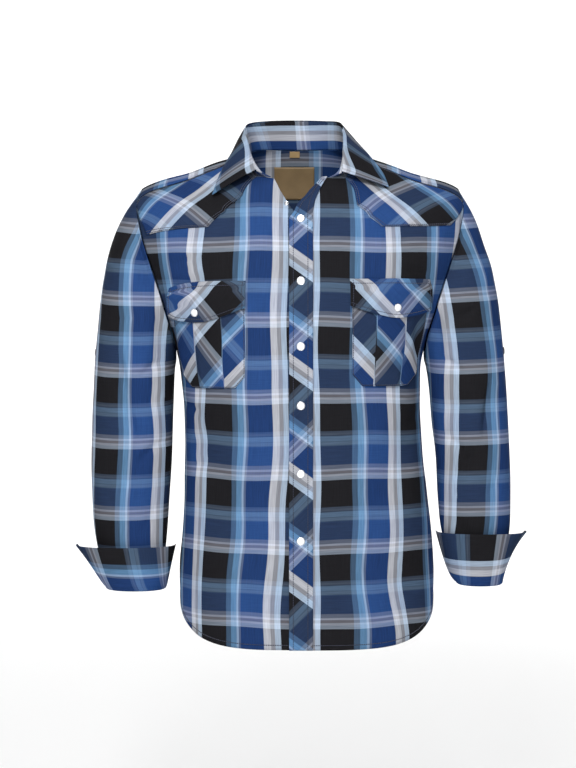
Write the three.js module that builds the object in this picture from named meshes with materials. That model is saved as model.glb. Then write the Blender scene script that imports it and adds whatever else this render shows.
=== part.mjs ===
// Western snap shirt, filled out as it is when worn, open at the neck, hem, cuffs and armholes.
// Millimetres, +Z up, the front faces -Y, +X is the wearer's left.
// The origin is the middle of the neck at the height of the highest shoulder points.
import * as THREE from 'three';

// Driving dimensions
const CLOTH = 1.6;            // thickness of a cloth wall
const SEAM_GAP = 0.3;         // space between two pieces at a seam
const LAP = 0.7;              // space under a piece that is sewn on top of another
const SQUARENESS = 2.4;       // exponent of the body's ring, 2 is an ellipse
const SLEEVE_SQUARENESS = 2.2;
const ARM_TOP = 9;            // ring of the shoulder tip
const ARM_BOTTOM = 5;         // ring of the underarm
const NECK = 12;              // ring of the neck seam
const ARM_MIDDLE = (ARM_TOP + ARM_BOTTOM) / 2;
const ARM_HALF = (ARM_TOP - ARM_BOTTOM) / 2;
const ARM_FRONT = 0.4;        // angle that the armhole takes from the front
const ARM_BACK = 0.44;        // angle that it takes from the back
const ARM_STEPS = 24;         // points round an armhole
const SEAM_FORWARD = Math.PI / 6;    // where the shoulder seam meets the armhole, round the armhole
const NECK_SEAM_ANGLE = 0.1;  // how far the shoulder seam lies before the ridge at the neck
const PLACKET_LEFT = -16.4;   // left edge of the placket, seen from the front
const PLACKET_TOP_LIFT = 1.6; // it rolls away from the front at the open neck
const LEFT_LAP = 4;           // how far the left front starts inside the placket's edge
const FRONT_TUCK = 2.9;       // how far the under front lies behind the other
const TUCK_FROM = -62;        // the tuck begins at this x and is full at the next one
const TUCK_FULL = -24;
const UNDER_PLACKET_WIDTH = 26;
const UNDER_PLACKET_DROP = 0.8;  // how much further it lies back at the neck
const SNAP_RADIUS = 6.2;
const SNAP_HEIGHT = 2.6;
const SNAP_LIFT = 0.5;        // space under a snap
const SNAP_X = 0.3;           // the snaps' line down the placket
const CUFF_SNAP_RADIUS = 4.6;
const CUFF_SNAP_SHARE = 0.84; // how far up the cuff's outer leg its snap sits
const STUD_RADIUS = 3.4;
const STUD_LIFT = 0.4;
const BUTTON_RADIUS = 6;
const BUTTON_HEIGHT = 2.5;
const CUFF_FOLD_RADIUS = 3.2;
const CUFF_REACH_LOW = 2.62;  // how far a cuff goes round the arm at its fold, either way from the front
const CUFF_REACH_HIGH = 1.68; // the same at its free edge
const CUFF_START = 8.406;     // place on the arm where the cuff goes on from the sleeve
const CUFF_FOLD_PLACE = 9;    // place where it folds back
const TAB_TURN = -0.12;       // where the roll-up tab's button sits, round the arm and down it
const TAB_PLACE = 4.55;
const POCKET_RISE = 1.2;      // how far a pocket stands off in its middle
const POCKET_SIDE_RISE = 0.6; // how far its outer side stands off
const PLEAT_RISE = 1.6;       // how far its box pleat stands off
const PLEAT_MIDDLE = 0.52;    // where the pleat lies across the pocket, its half width, and its slope
const PLEAT_HALF = 0.2;
const PLEAT_SLOPE = 0.08;
const FLAP_RISE = 0.34;       // share of a flap's height in which it rises over its pocket
const LABEL_THICKNESS = 1;
const LABEL_DROP = 1;         // the label hangs this far from the yoke's hollow side
const ARM_LIFT = 0.9;         // how far the sleeve starts outside the body's cloth
const UNDERARM_LIFT = 1.3;    // more of it under the arm
const ARM_GAP = 0.006;        // a panel stops this angle before the armhole seam
const SIDE_GAP = 0.001;       // and this angle before the side seam
const BACK_TOP_TURN = (75 * Math.PI) / 180;  // where the back ends at the armhole, round the armhole
const YOKE_GAP = 0.03;        // a front yoke stops this angle before the armhole
const YOKE_SEAM_SHARE = 0.25; // share of the back yoke's upper edge that a shoulder seam takes
const BACK_YOKE_PULL = 0.022; // the back yoke's sides keep this angle from the armhole
const STAND_END = 2.62;       // angle from the centre back to the collar's front ends
const STAND_LIFT = 3.2;       // height of the collar's lower edge over the neck seam
const STAND_TOP_DROP = 1.2;   // how far its band ends below the roll line
const STAND_HOLLOW = 1.2;     // how far the band bows inwards
const SLOPE_STEP = 0.03;      // step for the slopes of a sleeve

// Rings of the body from the hem up to the neck seam.
// Heights at the centre front, the side and the centre back, the ring's middle, half width and depths.
const BODY_RINGS = [
  { front: -711, side: -645, back: -711, x: 10, width: 189, ahead: 130, behind: 122 },
  { front: -640, side: -597, back: -640, x: 10, width: 190, ahead: 129, behind: 121 },
  { front: -548, side: -537, back: -548, x: 10, width: 185, ahead: 128, behind: 120 },
  { front: -440, side: -440, back: -440, x: 6, width: 178, ahead: 128, behind: 118 },
  { front: -345, side: -350, back: -345, x: 2, width: 177, ahead: 133, behind: 119 },
  { front: -265, side: -287, back: -265, x: 0, width: 184, ahead: 136, behind: 122 },
  { front: -200, side: -226, back: -195, x: 0, width: 212, ahead: 134, behind: 124 },
  { front: -148, side: -160, back: -130, x: 0, width: 237, ahead: 128, behind: 124 },
  { front: -108, side: -95, back: -78, x: 0, width: 249, ahead: 117, behind: 116 },
  { front: -82, side: -43, back: -38, x: 0, width: 238, ahead: 106, behind: 104 },
  { front: -62, side: -17, back: -10, x: 0, width: 164, ahead: 97, behind: 92 },
  { front: -45, side: 0, back: 10, x: 0, width: 116, ahead: 93, behind: 82 },
  { front: -31, side: 10, back: 24, x: 0, width: 76, ahead: 92, behind: 76 },
];

// Cross sections of the sleeves below the armhole: the outer and the inner point seen from the front,
// the middle's y and the half depth. The last one is where the cuff folds.
const SLEEVE_RIGHT = [
  { outerX: -262, outerZ: -78, innerX: -185.5, innerZ: -297, y: -1, depth: 62 },
  { outerX: -280, outerZ: -117, innerX: -187, innerZ: -307, y: -3, depth: 65 },
  { outerX: -293, outerZ: -170, innerX: -188, innerZ: -322, y: -6, depth: 65 },
  { outerX: -301, outerZ: -240, innerX: -188.5, innerZ: -347, y: -9, depth: 63 },
  { outerX: -307, outerZ: -325, innerX: -189.5, innerZ: -390, y: -13, depth: 60 },
  { outerX: -310.5, outerZ: -417, innerX: -191, innerZ: -445, y: -17, depth: 55 },
  { outerX: -309, outerZ: -507, innerX: -195, innerZ: -513, y: -20, depth: 49 },
  { outerX: -302, outerZ: -572, innerX: -199.5, innerZ: -572, y: -21, depth: 42 },
  { outerX: -282, outerZ: -632, innerX: -206, innerZ: -632, y: -21, depth: 35 },
];
const SLEEVE_LEFT = [
  { outerX: 260, outerZ: -82, innerX: 186, innerZ: -297, y: -1, depth: 62 },
  { outerX: 274, outerZ: -121, innerX: 188.5, innerZ: -307, y: -3, depth: 65 },
  { outerX: 289, outerZ: -170, innerX: 191, innerZ: -322, y: -6, depth: 65 },
  { outerX: 299, outerZ: -240, innerX: 193.5, innerZ: -347, y: -9, depth: 63 },
  { outerX: 306, outerZ: -320, innerX: 197, innerZ: -390, y: -13, depth: 60 },
  { outerX: 311, outerZ: -410, innerX: 202, innerZ: -440, y: -17, depth: 55 },
  { outerX: 313, outerZ: -497, innerX: 205.5, innerZ: -505, y: -20, depth: 49 },
  { outerX: 310, outerZ: -560, innerX: 213, innerZ: -560, y: -21, depth: 42 },
  { outerX: 294, outerZ: -625, innerX: 239, innerZ: -625, y: -21, depth: 32 },
];

// Free edges of the turned-back cuffs, as the middle, half width and half depth of a ring
// The flares tell how soon its sides bend out on the way up, on the side of the body and the far side.
const CUFF_RIGHT = { x: -259.5, z: -571, y: -20, width: 73.5, depth: 53, flareIn: 0.5, flareOut: 0.85 };
const CUFF_LEFT = { x: 269.5, z: -551, y: -20, width: 66.5, depth: 53, flareIn: 0.45, flareOut: 1.35 };

// Collar, one table for each side from the centre back to the front end: the roll line and the leaf's
// free edge. The edge is given on the body, as the angle from the centre back, the ring and the height
// above, with how far the leaf bows out between the roll and that place.
const COLLAR_ROLL_RIGHT = [
  { x: -4, y: 74, z: 70 },
  { x: -48, y: 64, z: 68 },
  { x: -75.5, y: 44, z: 62 },
  { x: -80.8, y: 14, z: 50 },
  { x: -78, y: -22, z: 32 },
  { x: -72, y: -54, z: 8 },
  { x: -63.3, y: -84, z: -19 },
];
const COLLAR_ROLL_LEFT = [
  { x: -4, y: 74, z: 70 },
  { x: 36, y: 64, z: 68 },
  { x: 57, y: 44, z: 64 },
  { x: 63, y: 16, z: 54 },
  { x: 64, y: -22, z: 33 },
  { x: 62, y: -54, z: 8 },
  { x: 59.6, y: -84, z: -22 },
];
const COLLAR_EDGE_RIGHT = [
  { angle: 0, ring: 11.4, above: 13, bow: 5 },
  { angle: 0.9, ring: 11.4, above: 9, bow: 4 },
  { angle: 1.33, ring: 11.42, above: 6, bow: 2 },
  { angle: 1.6, ring: 11.36, above: 5, bow: 1.5 },
  { angle: 1.95, ring: 10.88, above: 4.6, bow: 2 },
  { angle: 2.39, ring: 9.86, above: 4.2, bow: 1.5 },
];
const COLLAR_EDGE_LEFT = [
  { angle: 0, ring: 11.4, above: 13, bow: 5 },
  { angle: 0.9, ring: 11.4, above: 9, bow: 3 },
  { angle: 1.3, ring: 11.44, above: 6, bow: 0 },
  { angle: 1.6, ring: 11.4, above: 5, bow: -1.5 },
  { angle: 1.93, ring: 10.78, above: 4.6, bow: 0 },
  { angle: 2.2, ring: 10.22, above: 4.2, bow: 1 },
];
const LEAF_LIFT = 1.2;         // space that the leaf takes up at the roll line

// Largest folds, seen from the front: the line that a trough follows, its half width and depth.
// A negative depth is a ridge.
const FOLDS = [
  { on: 'body', face: 'front', x0: -152, z0: -395, x1: -96, z1: -520, width: 24, depth: 4 },
  { on: 'body', face: 'front', x0: 158, z0: -380, x1: 112, z1: -540, width: 24, depth: 4.5 },
  { on: 'body', face: 'front', x0: -62, z0: -520, x1: -78, z1: -690, width: 24, depth: 3 },
  { on: 'body', face: 'front', x0: 76, z0: -560, x1: 62, z1: -700, width: 24, depth: 3 },
  { on: 'body', face: 'front', x0: -120, z0: -560, x1: -140, z1: -690, width: 24, depth: -3 },
  { on: 'body', face: 'front', x0: 140, z0: -600, x1: 150, z1: -690, width: 24, depth: 3.5 },
  { on: 'body', face: 'back', x0: -92, z0: -190, x1: -70, z1: -480, width: 28, depth: 4.5 },
  { on: 'body', face: 'back', x0: 88, z0: -210, x1: 74, z1: -520, width: 30, depth: 5 },
  { on: 'body', face: 'back', x0: 4, z0: -400, x1: -10, z1: -690, width: 26, depth: 3.5 },
  { on: 'body', face: 'back', x0: -168, z0: -330, x1: -96, z1: -420, width: 22, depth: 4 },
  { on: 'body', face: 'back', x0: 166, z0: -320, x1: 98, z1: -400, width: 22, depth: 4 },
  { on: 'right sleeve', face: 'front', x0: -250, z0: -92, x1: -212, z1: -190, width: 14, depth: 6 },
  { on: 'right sleeve', face: 'front', x0: -272, z0: -282, x1: -244, z1: -417, width: 15, depth: 5 },
  { on: 'right sleeve', face: 'front', x0: -200, z0: -350, x1: -246, z1: -372, width: 14, depth: 4 },
  { on: 'right sleeve', face: 'back', x0: -206, z0: -250, x1: -262, z1: -350, width: 18, depth: 5 },
  { on: 'right sleeve', face: 'back', x0: -200, z0: -400, x1: -270, z1: -430, width: 16, depth: 4 },
  { on: 'left sleeve', face: 'front', x0: 240, z0: -90, x1: 206, z1: -180, width: 14, depth: 6 },
  { on: 'left sleeve', face: 'front', x0: 284, z0: -330, x1: 271, z1: -422, width: 15, depth: 5 },
  { on: 'left sleeve', face: 'front', x0: 208, z0: -372, x1: 256, z1: -352, width: 14, depth: 4 },
  { on: 'left sleeve', face: 'back', x0: 210, z0: -262, x1: 268, z1: -340, width: 18, depth: 5 },
  { on: 'left sleeve', face: 'back', x0: 206, z0: -430, x1: 282, z1: -404, width: 16, depth: 4 },
];

// Front edges by ring, seen from the front: the under front's edge and the two edges of the placket
const UNDER_EDGE = [
  { ring: 0, x: 13 },
  { ring: 8.1, x: 13 },
  { ring: 8.75, x: -3 },
  { ring: 9.6, x: -17 },
  { ring: 10.8, x: -30 },
  { ring: 12, x: -39 },
];
const PLACKET_EDGE = [
  { ring: 0, x: PLACKET_LEFT },
  { ring: 8.6, x: PLACKET_LEFT },
  { ring: 9, x: -9.5 },
  { ring: 9.65, x: -3.5 },
  { ring: 10.2, x: 6.5 },
  { ring: 10.7, x: 13 },
  { ring: 11.3, x: 22 },
  { ring: 12, x: 30 },
];
const PLACKET_SEAM = [
  { ring: 0, x: 17.9 },
  { ring: 9, x: 17.9 },
  { ring: 9.9, x: 21.5 },
  { ring: 10.7, x: 27.5 },
  { ring: 11.3, x: 32 },
  { ring: 12, x: 38 },
];

// Pockets and flaps, seen from the front: corners from the side nearer the placket to the outer side
const POCKET_RIGHT = { inner: -79.5, outer: -186, bottomOuter: -170, top: -206, bottom: -336, cut: 17 };
const POCKET_LEFT = { inner: 74, outer: 184, bottomOuter: 168, top: -204, bottom: -333, cut: 17 };
const FLAP_RIGHT = [
  { x: -78.7, top: -182, bottom: -221 },
  { x: -100, top: -182, bottom: -229 },
  { x: -122, top: -182, bottom: -236.5 },
  { x: -140, top: -182.5, bottom: -240.5 },
  { x: -160, top: -184, bottom: -239.5 },
  { x: -178, top: -187, bottom: -236 },
  { x: -191, top: -191, bottom: -228 },
];
const FLAP_LEFT = [
  { x: 70.5, top: -179, bottom: -218 },
  { x: 92, top: -179, bottom: -225 },
  { x: 115, top: -178.5, bottom: -231 },
  { x: 136, top: -178, bottom: -234 },
  { x: 157, top: -178, bottom: -231.5 },
  { x: 175, top: -178, bottom: -226.5 },
  { x: 188, top: -178.5, bottom: -221 },
];

// Lower edges of the pointed front yokes, from the neck to the armhole, and of the back yoke
const YOKE_RIGHT = [
  { x: -62, z: -27 },
  { x: -84, z: -57 },
  { x: -108, z: -82 },
  { x: -133, z: -103.5 },
  { x: -165, z: -105 },
  { x: -196, z: -108 },
  { x: -224, z: -113 },
];
const YOKE_LEFT = [
  { x: 66, z: -31 },
  { x: 81, z: -72 },
  { x: 99, z: -90 },
  { x: 117, z: -103.5 },
  { x: 155, z: -102 },
  { x: 192, z: -101 },
  { x: 219, z: -99 },
];
const BACK_YOKE_POINT = 6.55;   // ring of the back yoke's point
const BACK_YOKE_DIP = 7.15;     // ring of its two high places
const BACK_YOKE_SIDE = 7.28;    // ring of its lower edge near the armholes
const YOKE_DIP_PLACE = 0.55;    // where the high places lie, from the middle to an armhole
const BACK_TOP = 7.52;          // ring where the back meets the armhole's upper part
const YOKE_LAP = 0.26;          // how far the back goes on behind the yoke, in rings

// Snaps down the placket and on the pockets, seen from the front
const FRONT_SNAPS = [-92.4, -182.4, -275.8, -360.6, -458.5, -554.7];
const POCKET_SNAPS = {
  snap_pocket_right: { x: -150, z: -226.5 },
  snap_pocket_left: { x: 137, z: -219.5 },
};
const NECK_STUD = { x: -20, z: -68 };
const LABEL = { left: -39.3, right: 22.7, top: 0, bottom: -48.7 };
const SIZE_TAB = { left: -15.4, right: 0, top: 23, bottom: 14 };

const FABRIC_COLOURS = {
  front: '#2b4a80',
  back: '#27406f',
  yoke: '#1d2333',
  sleeve: '#22396a',
  trim: '#31507f',
};

// Sizes by linear steps through a table
function lookUp(table, key, value, at) {
  let index = 1;
  while (index < table.length - 1 && Math.abs(at) > Math.abs(table[index][key])) {
    index += 1;
  }
  const low = table[index - 1];
  const high = table[index];
  const share = (at - low[key]) / (high[key] - low[key]);
  return THREE.MathUtils.lerp(low[value], high[value], THREE.MathUtils.clamp(share, 0, 1));
}

// Smooth curve through the numbers p0 to p3, from p1 to p2, with one-sided slopes at a table's ends
function hermite(p0, p1, p2, p3, share, first, last) {
  const slope1 = first ? p2 - p1 : (p2 - p0) / 2;
  const slope2 = last ? p2 - p1 : (p3 - p1) / 2;
  const t2 = share * share;
  const t3 = t2 * share;
  return (2 * t3 - 3 * t2 + 1) * p1 + (t3 - 2 * t2 + share) * slope1
    + (3 * t2 - 2 * t3) * p2 + (t3 - t2) * slope2;
}

// Every named column of a table at a place between its rows, counted in rows
function sampleRows(table, place) {
  const last = table.length - 1;
  const at = THREE.MathUtils.clamp(place, 0, last);
  const index = Math.min(Math.floor(at), last - 1);
  const row = (offset) => table[THREE.MathUtils.clamp(index + offset, 0, last)];
  const result = {};
  for (const name of Object.keys(table[0])) {
    result[name] = hermite(
      row(-1)[name], row(0)[name], row(1)[name], row(2)[name],
      at - index, index === 0, index === last - 1,
    );
  }
  return result;
}

const signedPower = (value, power) => Math.sign(value) * Math.abs(value) ** power;

// Point of the body's form: angle 0 is the centre front, a quarter turn is the wearer's left side
function bodyForm(angle, ring) {
  const size = sampleRows(BODY_RINGS, ring);
  const across = signedPower(Math.sin(angle), 2 / SQUARENESS);
  const along = signedPower(Math.cos(angle), 2 / SQUARENESS);
  const lean = Math.abs(Math.cos(angle));
  const share = 1.5 * lean - 0.5 * lean ** 3;
  const ahead = Math.cos(angle) > 0;
  const height = ahead ? size.front : size.back;
  return new THREE.Vector3(
    size.x + size.width * across,
    -along * (ahead ? size.ahead : size.behind),
    size.side + (height - size.side) * share,
  );
}

// Direction that faces out of a form at a place, from its slopes both ways
function outward(form, first, second, step) {
  const right = form(first + step, second).sub(form(first - step, second));
  const up = form(first, second + step).sub(form(first, second - step));
  return right.cross(up).normalize();
}

// Depth of all folds on a form at a point of it
function foldDepth(on, point, normal) {
  let depth = 0;
  for (const fold of FOLDS) {
    const facing = fold.face === 'front' ? -normal.y : normal.y;
    if (fold.on !== on || facing <= 0) {
      continue;
    }
    const runX = fold.x1 - fold.x0;
    const runZ = fold.z1 - fold.z0;
    const length = Math.hypot(runX, runZ);
    const along = ((point.x - fold.x0) * runX + (point.z - fold.z0) * runZ) / length;
    const aside = ((point.x - fold.x0) * runZ - (point.z - fold.z0) * runX) / length;
    const taper = 1 - Math.min(1, Math.abs(along / length - 0.5) * 2) ** 2;
    depth += fold.depth * taper * Math.exp(-((aside / fold.width) ** 2)) * Math.min(1, facing * 2);
  }
  return depth;
}

// A place on the body's cloth, some way out from the wall's outer face
function onBody(angle, ring, out) {
  const point = bodyForm(angle, ring);
  const normal = outward(bodyForm, angle, ring, 0.01);
  const depth = foldDepth('body', point, normal);
  return { point: point.addScaledVector(normal, out - depth), normal };
}

// Angle of a body ring where it has a given x, on the front
function angleAt(x, ring) {
  const size = sampleRows(BODY_RINGS, ring);
  const share = THREE.MathUtils.clamp((x - size.x) / size.width, -1, 1);
  return Math.asin(signedPower(share, SQUARENESS / 2));
}

// Angle and ring of the front's place with a given x and z, by halving
function frontAt(x, z) {
  let low = 0;
  let high = NECK;
  for (let step = 0; step < 40; step += 1) {
    const ring = (low + high) / 2;
    const beyond = Math.abs(x) > sampleRows(BODY_RINGS, ring).width && ring > 8;
    if (!beyond && bodyForm(angleAt(x, ring), ring).z < z) {
      low = ring;
    } else {
      high = ring;
    }
  }
  return { angle: angleAt(x, low), ring: low };
}

// Angle and ring of the back's place with a given x and z, by halving
function backAt(x, z) {
  let low = 0;
  let high = NECK;
  for (let step = 0; step < 40; step += 1) {
    const ring = (low + high) / 2;
    if (bodyForm(Math.PI - angleAt(x, ring), ring).z < z) {
      low = ring;
    } else {
      high = ring;
    }
  }
  return { angle: Math.PI - angleAt(x, low), ring: low };
}

// Armhole seam by its own angle: 0 is the shoulder tip, positive angles go down the front
function armhole(turn, side) {
  const reach = Math.sin(turn) > 0 ? ARM_FRONT : ARM_BACK;
  return {
    angle: side * (Math.PI / 2 - reach * Math.sin(turn)),
    ring: ARM_MIDDLE + ARM_HALF * Math.cos(turn),
  };
}

const armTurn = (step) => (step * 2 * Math.PI) / ARM_STEPS;

// Closed wall from a grid of places: columns of { point, normal }, laid from 'out' inwards
function wallGeometry(grid, thickness = CLOTH, closed = false) {
  const columns = grid.length;
  const rows = grid[0].length;
  const positions = [];
  for (const layer of [0, thickness]) {
    for (const column of grid) {
      for (const place of column) {
        const corner = place.point.clone().addScaledVector(place.normal, -layer);
        positions.push(corner.x, corner.y, corner.z);
      }
    }
  }
  const outer = (i, j) => (i % columns) * rows + j;
  const inner = (i, j) => columns * rows + outer(i, j);
  const triangles = [];
  const quad = (a, b, c, d) => triangles.push(a, b, c, a, c, d);
  const spans = closed ? columns : columns - 1;
  for (let i = 0; i < spans; i += 1) {
    for (let j = 0; j < rows - 1; j += 1) {
      quad(outer(i, j), outer(i + 1, j), outer(i + 1, j + 1), outer(i, j + 1));
      quad(inner(i, j), inner(i, j + 1), inner(i + 1, j + 1), inner(i + 1, j));
    }
    quad(inner(i, 0), inner(i + 1, 0), outer(i + 1, 0), outer(i, 0));
    quad(outer(i, rows - 1), outer(i + 1, rows - 1), inner(i + 1, rows - 1), inner(i, rows - 1));
  }
  if (!closed) {
    const end = columns - 1;
    for (let j = 0; j < rows - 1; j += 1) {
      quad(outer(0, j), outer(0, j + 1), inner(0, j + 1), inner(0, j));
      quad(inner(end, j), inner(end, j + 1), outer(end, j + 1), outer(end, j));
    }
  }
  const geometry = new THREE.BufferGeometry();
  geometry.setAttribute('position', new THREE.Float32BufferAttribute(positions, 3));
  geometry.setIndex(facingOut(positions, triangles));
  return geometry;
}

// Triangles in the order that makes their solid's volume positive
function facingOut(positions, triangles) {
  let volume = 0;
  const corner = (index) => new THREE.Vector3().fromArray(positions, index * 3);
  for (let k = 0; k < triangles.length; k += 3) {
    const [a, b, c] = [0, 1, 2].map((offset) => corner(triangles[k + offset]));
    volume += a.dot(b.cross(c));
  }
  if (volume > 0) {
    return triangles;
  }
  const turned = [];
  for (let k = 0; k < triangles.length; k += 3) {
    turned.push(triangles[k], triangles[k + 2], triangles[k + 1]);
  }
  return turned;
}

const shirt = new THREE.Group();

function addPiece(name, geometry, colour, roughness = 0.85, metalness = 0) {
  geometry.computeVertexNormals();
  const material = new THREE.MeshStandardMaterial({ color: colour, roughness, metalness });
  const mesh = new THREE.Mesh(geometry, material);
  mesh.name = name;
  shirt.add(mesh);
}

function steps(count, from, to) {
  return Array.from({ length: count + 1 }, (_, k) => from + ((to - from) * k) / count);
}

// Rings of the rows of a panel: hem to underarm, up the armhole, then along the shoulder seam
function panelRows(lastTurn, shoulderRows) {
  const rows = steps(10, 0, ARM_BOTTOM).map((ring) => ({ ring, turn: null, seam: 0 }));
  const firstStep = ARM_STEPS / 2 - 1;
  for (let step = firstStep; armTurn(step) > lastTurn - 0.001; step -= 1) {
    rows.push({ ring: armhole(armTurn(step), 1).ring, turn: armTurn(step), seam: 0 });
  }
  const start = armhole(lastTurn, 1).ring;
  for (let row = 1; row <= shoulderRows; row += 1) {
    const seam = row / shoulderRows;
    rows.push({ ring: THREE.MathUtils.lerp(start, NECK, seam), turn: lastTurn, seam });
  }
  return rows;
}

// Angle of a front panel's side edge at a row, on the wearer's left
function frontSideAngle(row) {
  if (row.turn === null) {
    return Math.PI / 2 - SIDE_GAP;
  }
  const atArm = Math.PI / 2 - ARM_FRONT * Math.sin(row.turn) - ARM_GAP;
  const atNeck = Math.PI / 2 - NECK_SEAM_ANGLE;
  return THREE.MathUtils.lerp(atArm, atNeck, row.seam);
}

const FRONT_ROWS = panelRows(SEAM_FORWARD, 5);
const BACK_ROWS = panelRows(BACK_TOP_TURN, 0);

// How far the wearer's right front lies behind the body's form at a given x
const tuckAt = (x) => FRONT_TUCK * THREE.MathUtils.smoothstep(x, TUCK_FROM, TUCK_FULL);

// Front panel: side -1 is the wearer's right front, whose edge lies under the other
function frontPanel(side) {
  const columns = steps(11, 0, 1);
  return wallGeometry(columns.map((share) => FRONT_ROWS.map((row) => {
    const edgeX = side < 0
      ? lookUp(UNDER_EDGE, 'ring', 'x', row.ring)
      : lookUp(PLACKET_EDGE, 'ring', 'x', row.ring) + LEFT_LAP;
    const edge = angleAt(edgeX, row.ring);
    const angle = THREE.MathUtils.lerp(edge, side * frontSideAngle(row), share);
    const x = bodyForm(angle, row.ring).x;
    return onBody(angle, row.ring, side < 0 ? -tuckAt(x) : 0);
  })));
}

// Strip of the placket on the wearer's left front, from below the hem up to the open neck
function placket() {
  const columns = steps(3, 0, 1);
  return wallGeometry(columns.map((share) => FRONT_ROWS.map((row) => {
    const left = lookUp(PLACKET_EDGE, 'ring', 'x', row.ring);
    const nearNeck = THREE.MathUtils.smoothstep(row.ring, 9.5, NECK);
    const right = lookUp(PLACKET_SEAM, 'ring', 'x', row.ring);
    const angle = angleAt(THREE.MathUtils.lerp(left, right, share), row.ring);
    return onBody(angle, row.ring, LAP + CLOTH + PLACKET_TOP_LIFT * nearNeck);
  })));
}

// Strip behind the under front's edge, which shows inside the open neck
function underPlacket() {
  const columns = steps(2, 0, 1);
  return wallGeometry(columns.map((share) => FRONT_ROWS.map((row) => {
    const deeper = UNDER_PLACKET_DROP * THREE.MathUtils.smoothstep(row.ring, 10, NECK);
    const right = lookUp(UNDER_EDGE, 'ring', 'x', row.ring);
    const angle = angleAt(right - UNDER_PLACKET_WIDTH * (1 - share), row.ring);
    const x = bodyForm(angle, row.ring).x;
    return onBody(angle, row.ring, -tuckAt(x) - CLOTH - LAP - deeper);
  })));
}

// Angle of the back panel's side edge on the wearer's left
function backSideAngle(row) {
  if (row.turn === null) {
    return Math.PI / 2 + SIDE_GAP;
  }
  return Math.PI / 2 + ARM_BACK * Math.sin(row.turn) + ARM_GAP;
}

// Ring of the back yoke's pointed lower edge, by the share of the way across the back
function yokeLowerRing(share) {
  const fromMiddle = Math.abs(share - 0.5) * 2;
  const beyond = (fromMiddle - YOKE_DIP_PLACE) / (1 - YOKE_DIP_PLACE);
  const fall = fromMiddle < YOKE_DIP_PLACE
    ? THREE.MathUtils.lerp(BACK_YOKE_POINT, BACK_YOKE_DIP, fromMiddle / YOKE_DIP_PLACE)
    : THREE.MathUtils.lerp(BACK_YOKE_DIP, BACK_YOKE_SIDE, beyond);
  return THREE.MathUtils.lerp(fall, BACK_TOP, fromMiddle ** 12);
}

// Back panel, which ends a little above the yoke's lower edge, behind it
function backPanel() {
  const columns = steps(24, 0, 1);
  return wallGeometry(columns.map((share) => BACK_ROWS.map((row) => {
    const from = backSideAngle(row);
    const angle = THREE.MathUtils.lerp(from, 2 * Math.PI - from, share);
    const top = Math.min(BACK_TOP, yokeLowerRing(share) + YOKE_LAP);
    const rise = Math.max(0, row.ring - ARM_BOTTOM) / (BACK_TOP - ARM_BOTTOM);
    const ring = Math.min(row.ring, ARM_BOTTOM) + rise * (top - ARM_BOTTOM);
    return onBody(angle, ring, 0);
  })));
}

// Place inside a four-sided patch, blended from its four edges
function coons(across, along, edges) {
  const { bottom, top, left, right } = edges;
  const mix = (name) => (1 - along) * bottom(across)[name] + along * top(across)[name]
    + (1 - across) * left(along)[name] + across * right(along)[name]
    - (1 - across) * (1 - along) * bottom(0)[name] - across * (1 - along) * bottom(1)[name]
    - (1 - across) * along * top(0)[name] - across * along * top(1)[name];
  return { angle: mix('angle'), ring: mix('ring') };
}

// Pointed front yoke, laid on the front panel
function frontYoke(side, lowerEdge) {
  const rows = 6;
  const columns = 12;
  const lower = lowerEdge.map((place) => frontAt(place.x, place.z));
  const place = (table, share) => {
    const at = share * (table.length - 1);
    const index = Math.min(Math.floor(at), table.length - 2);
    return {
      angle: THREE.MathUtils.lerp(table[index].angle, table[index + 1].angle, at - index),
      ring: THREE.MathUtils.lerp(table[index].ring, table[index + 1].ring, at - index),
    };
  };
  const neckTop = { angle: side * (Math.PI / 2 - NECK_SEAM_ANGLE - 0.01), ring: NECK - 0.03 };
  const armAngle = (turn) => side * (Math.PI / 2 - ARM_FRONT * Math.sin(turn) - YOKE_GAP);
  const tip = { angle: armAngle(SEAM_FORWARD), ring: armhole(SEAM_FORWARD, 1).ring };
  const neckMiddle = { angle: side * 1.05, ring: NECK - 0.04 };
  const edges = {
    bottom: (share) => place(lower, share),
    top: (share) => place([neckTop, tip], share),
    left: (share) => place([lower[0], neckMiddle, neckTop], share),
    right: (share) => {
      const low = lower[lower.length - 1];
      const lowTurn = Math.acos((low.ring - ARM_MIDDLE) / ARM_HALF);
      const turn = THREE.MathUtils.lerp(lowTurn, SEAM_FORWARD, share);
      const bow = low.angle - armAngle(lowTurn);
      return { angle: armAngle(turn) + bow * (1 - share), ring: armhole(turn, 1).ring };
    },
  };
  return wallGeometry(steps(columns, 0, 1).map((across) => steps(rows, 0, 1).map((along) => {
    const at = coons(across, along, edges);
    return onBody(at.angle, at.ring, LAP + CLOTH);
  })));
}

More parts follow.
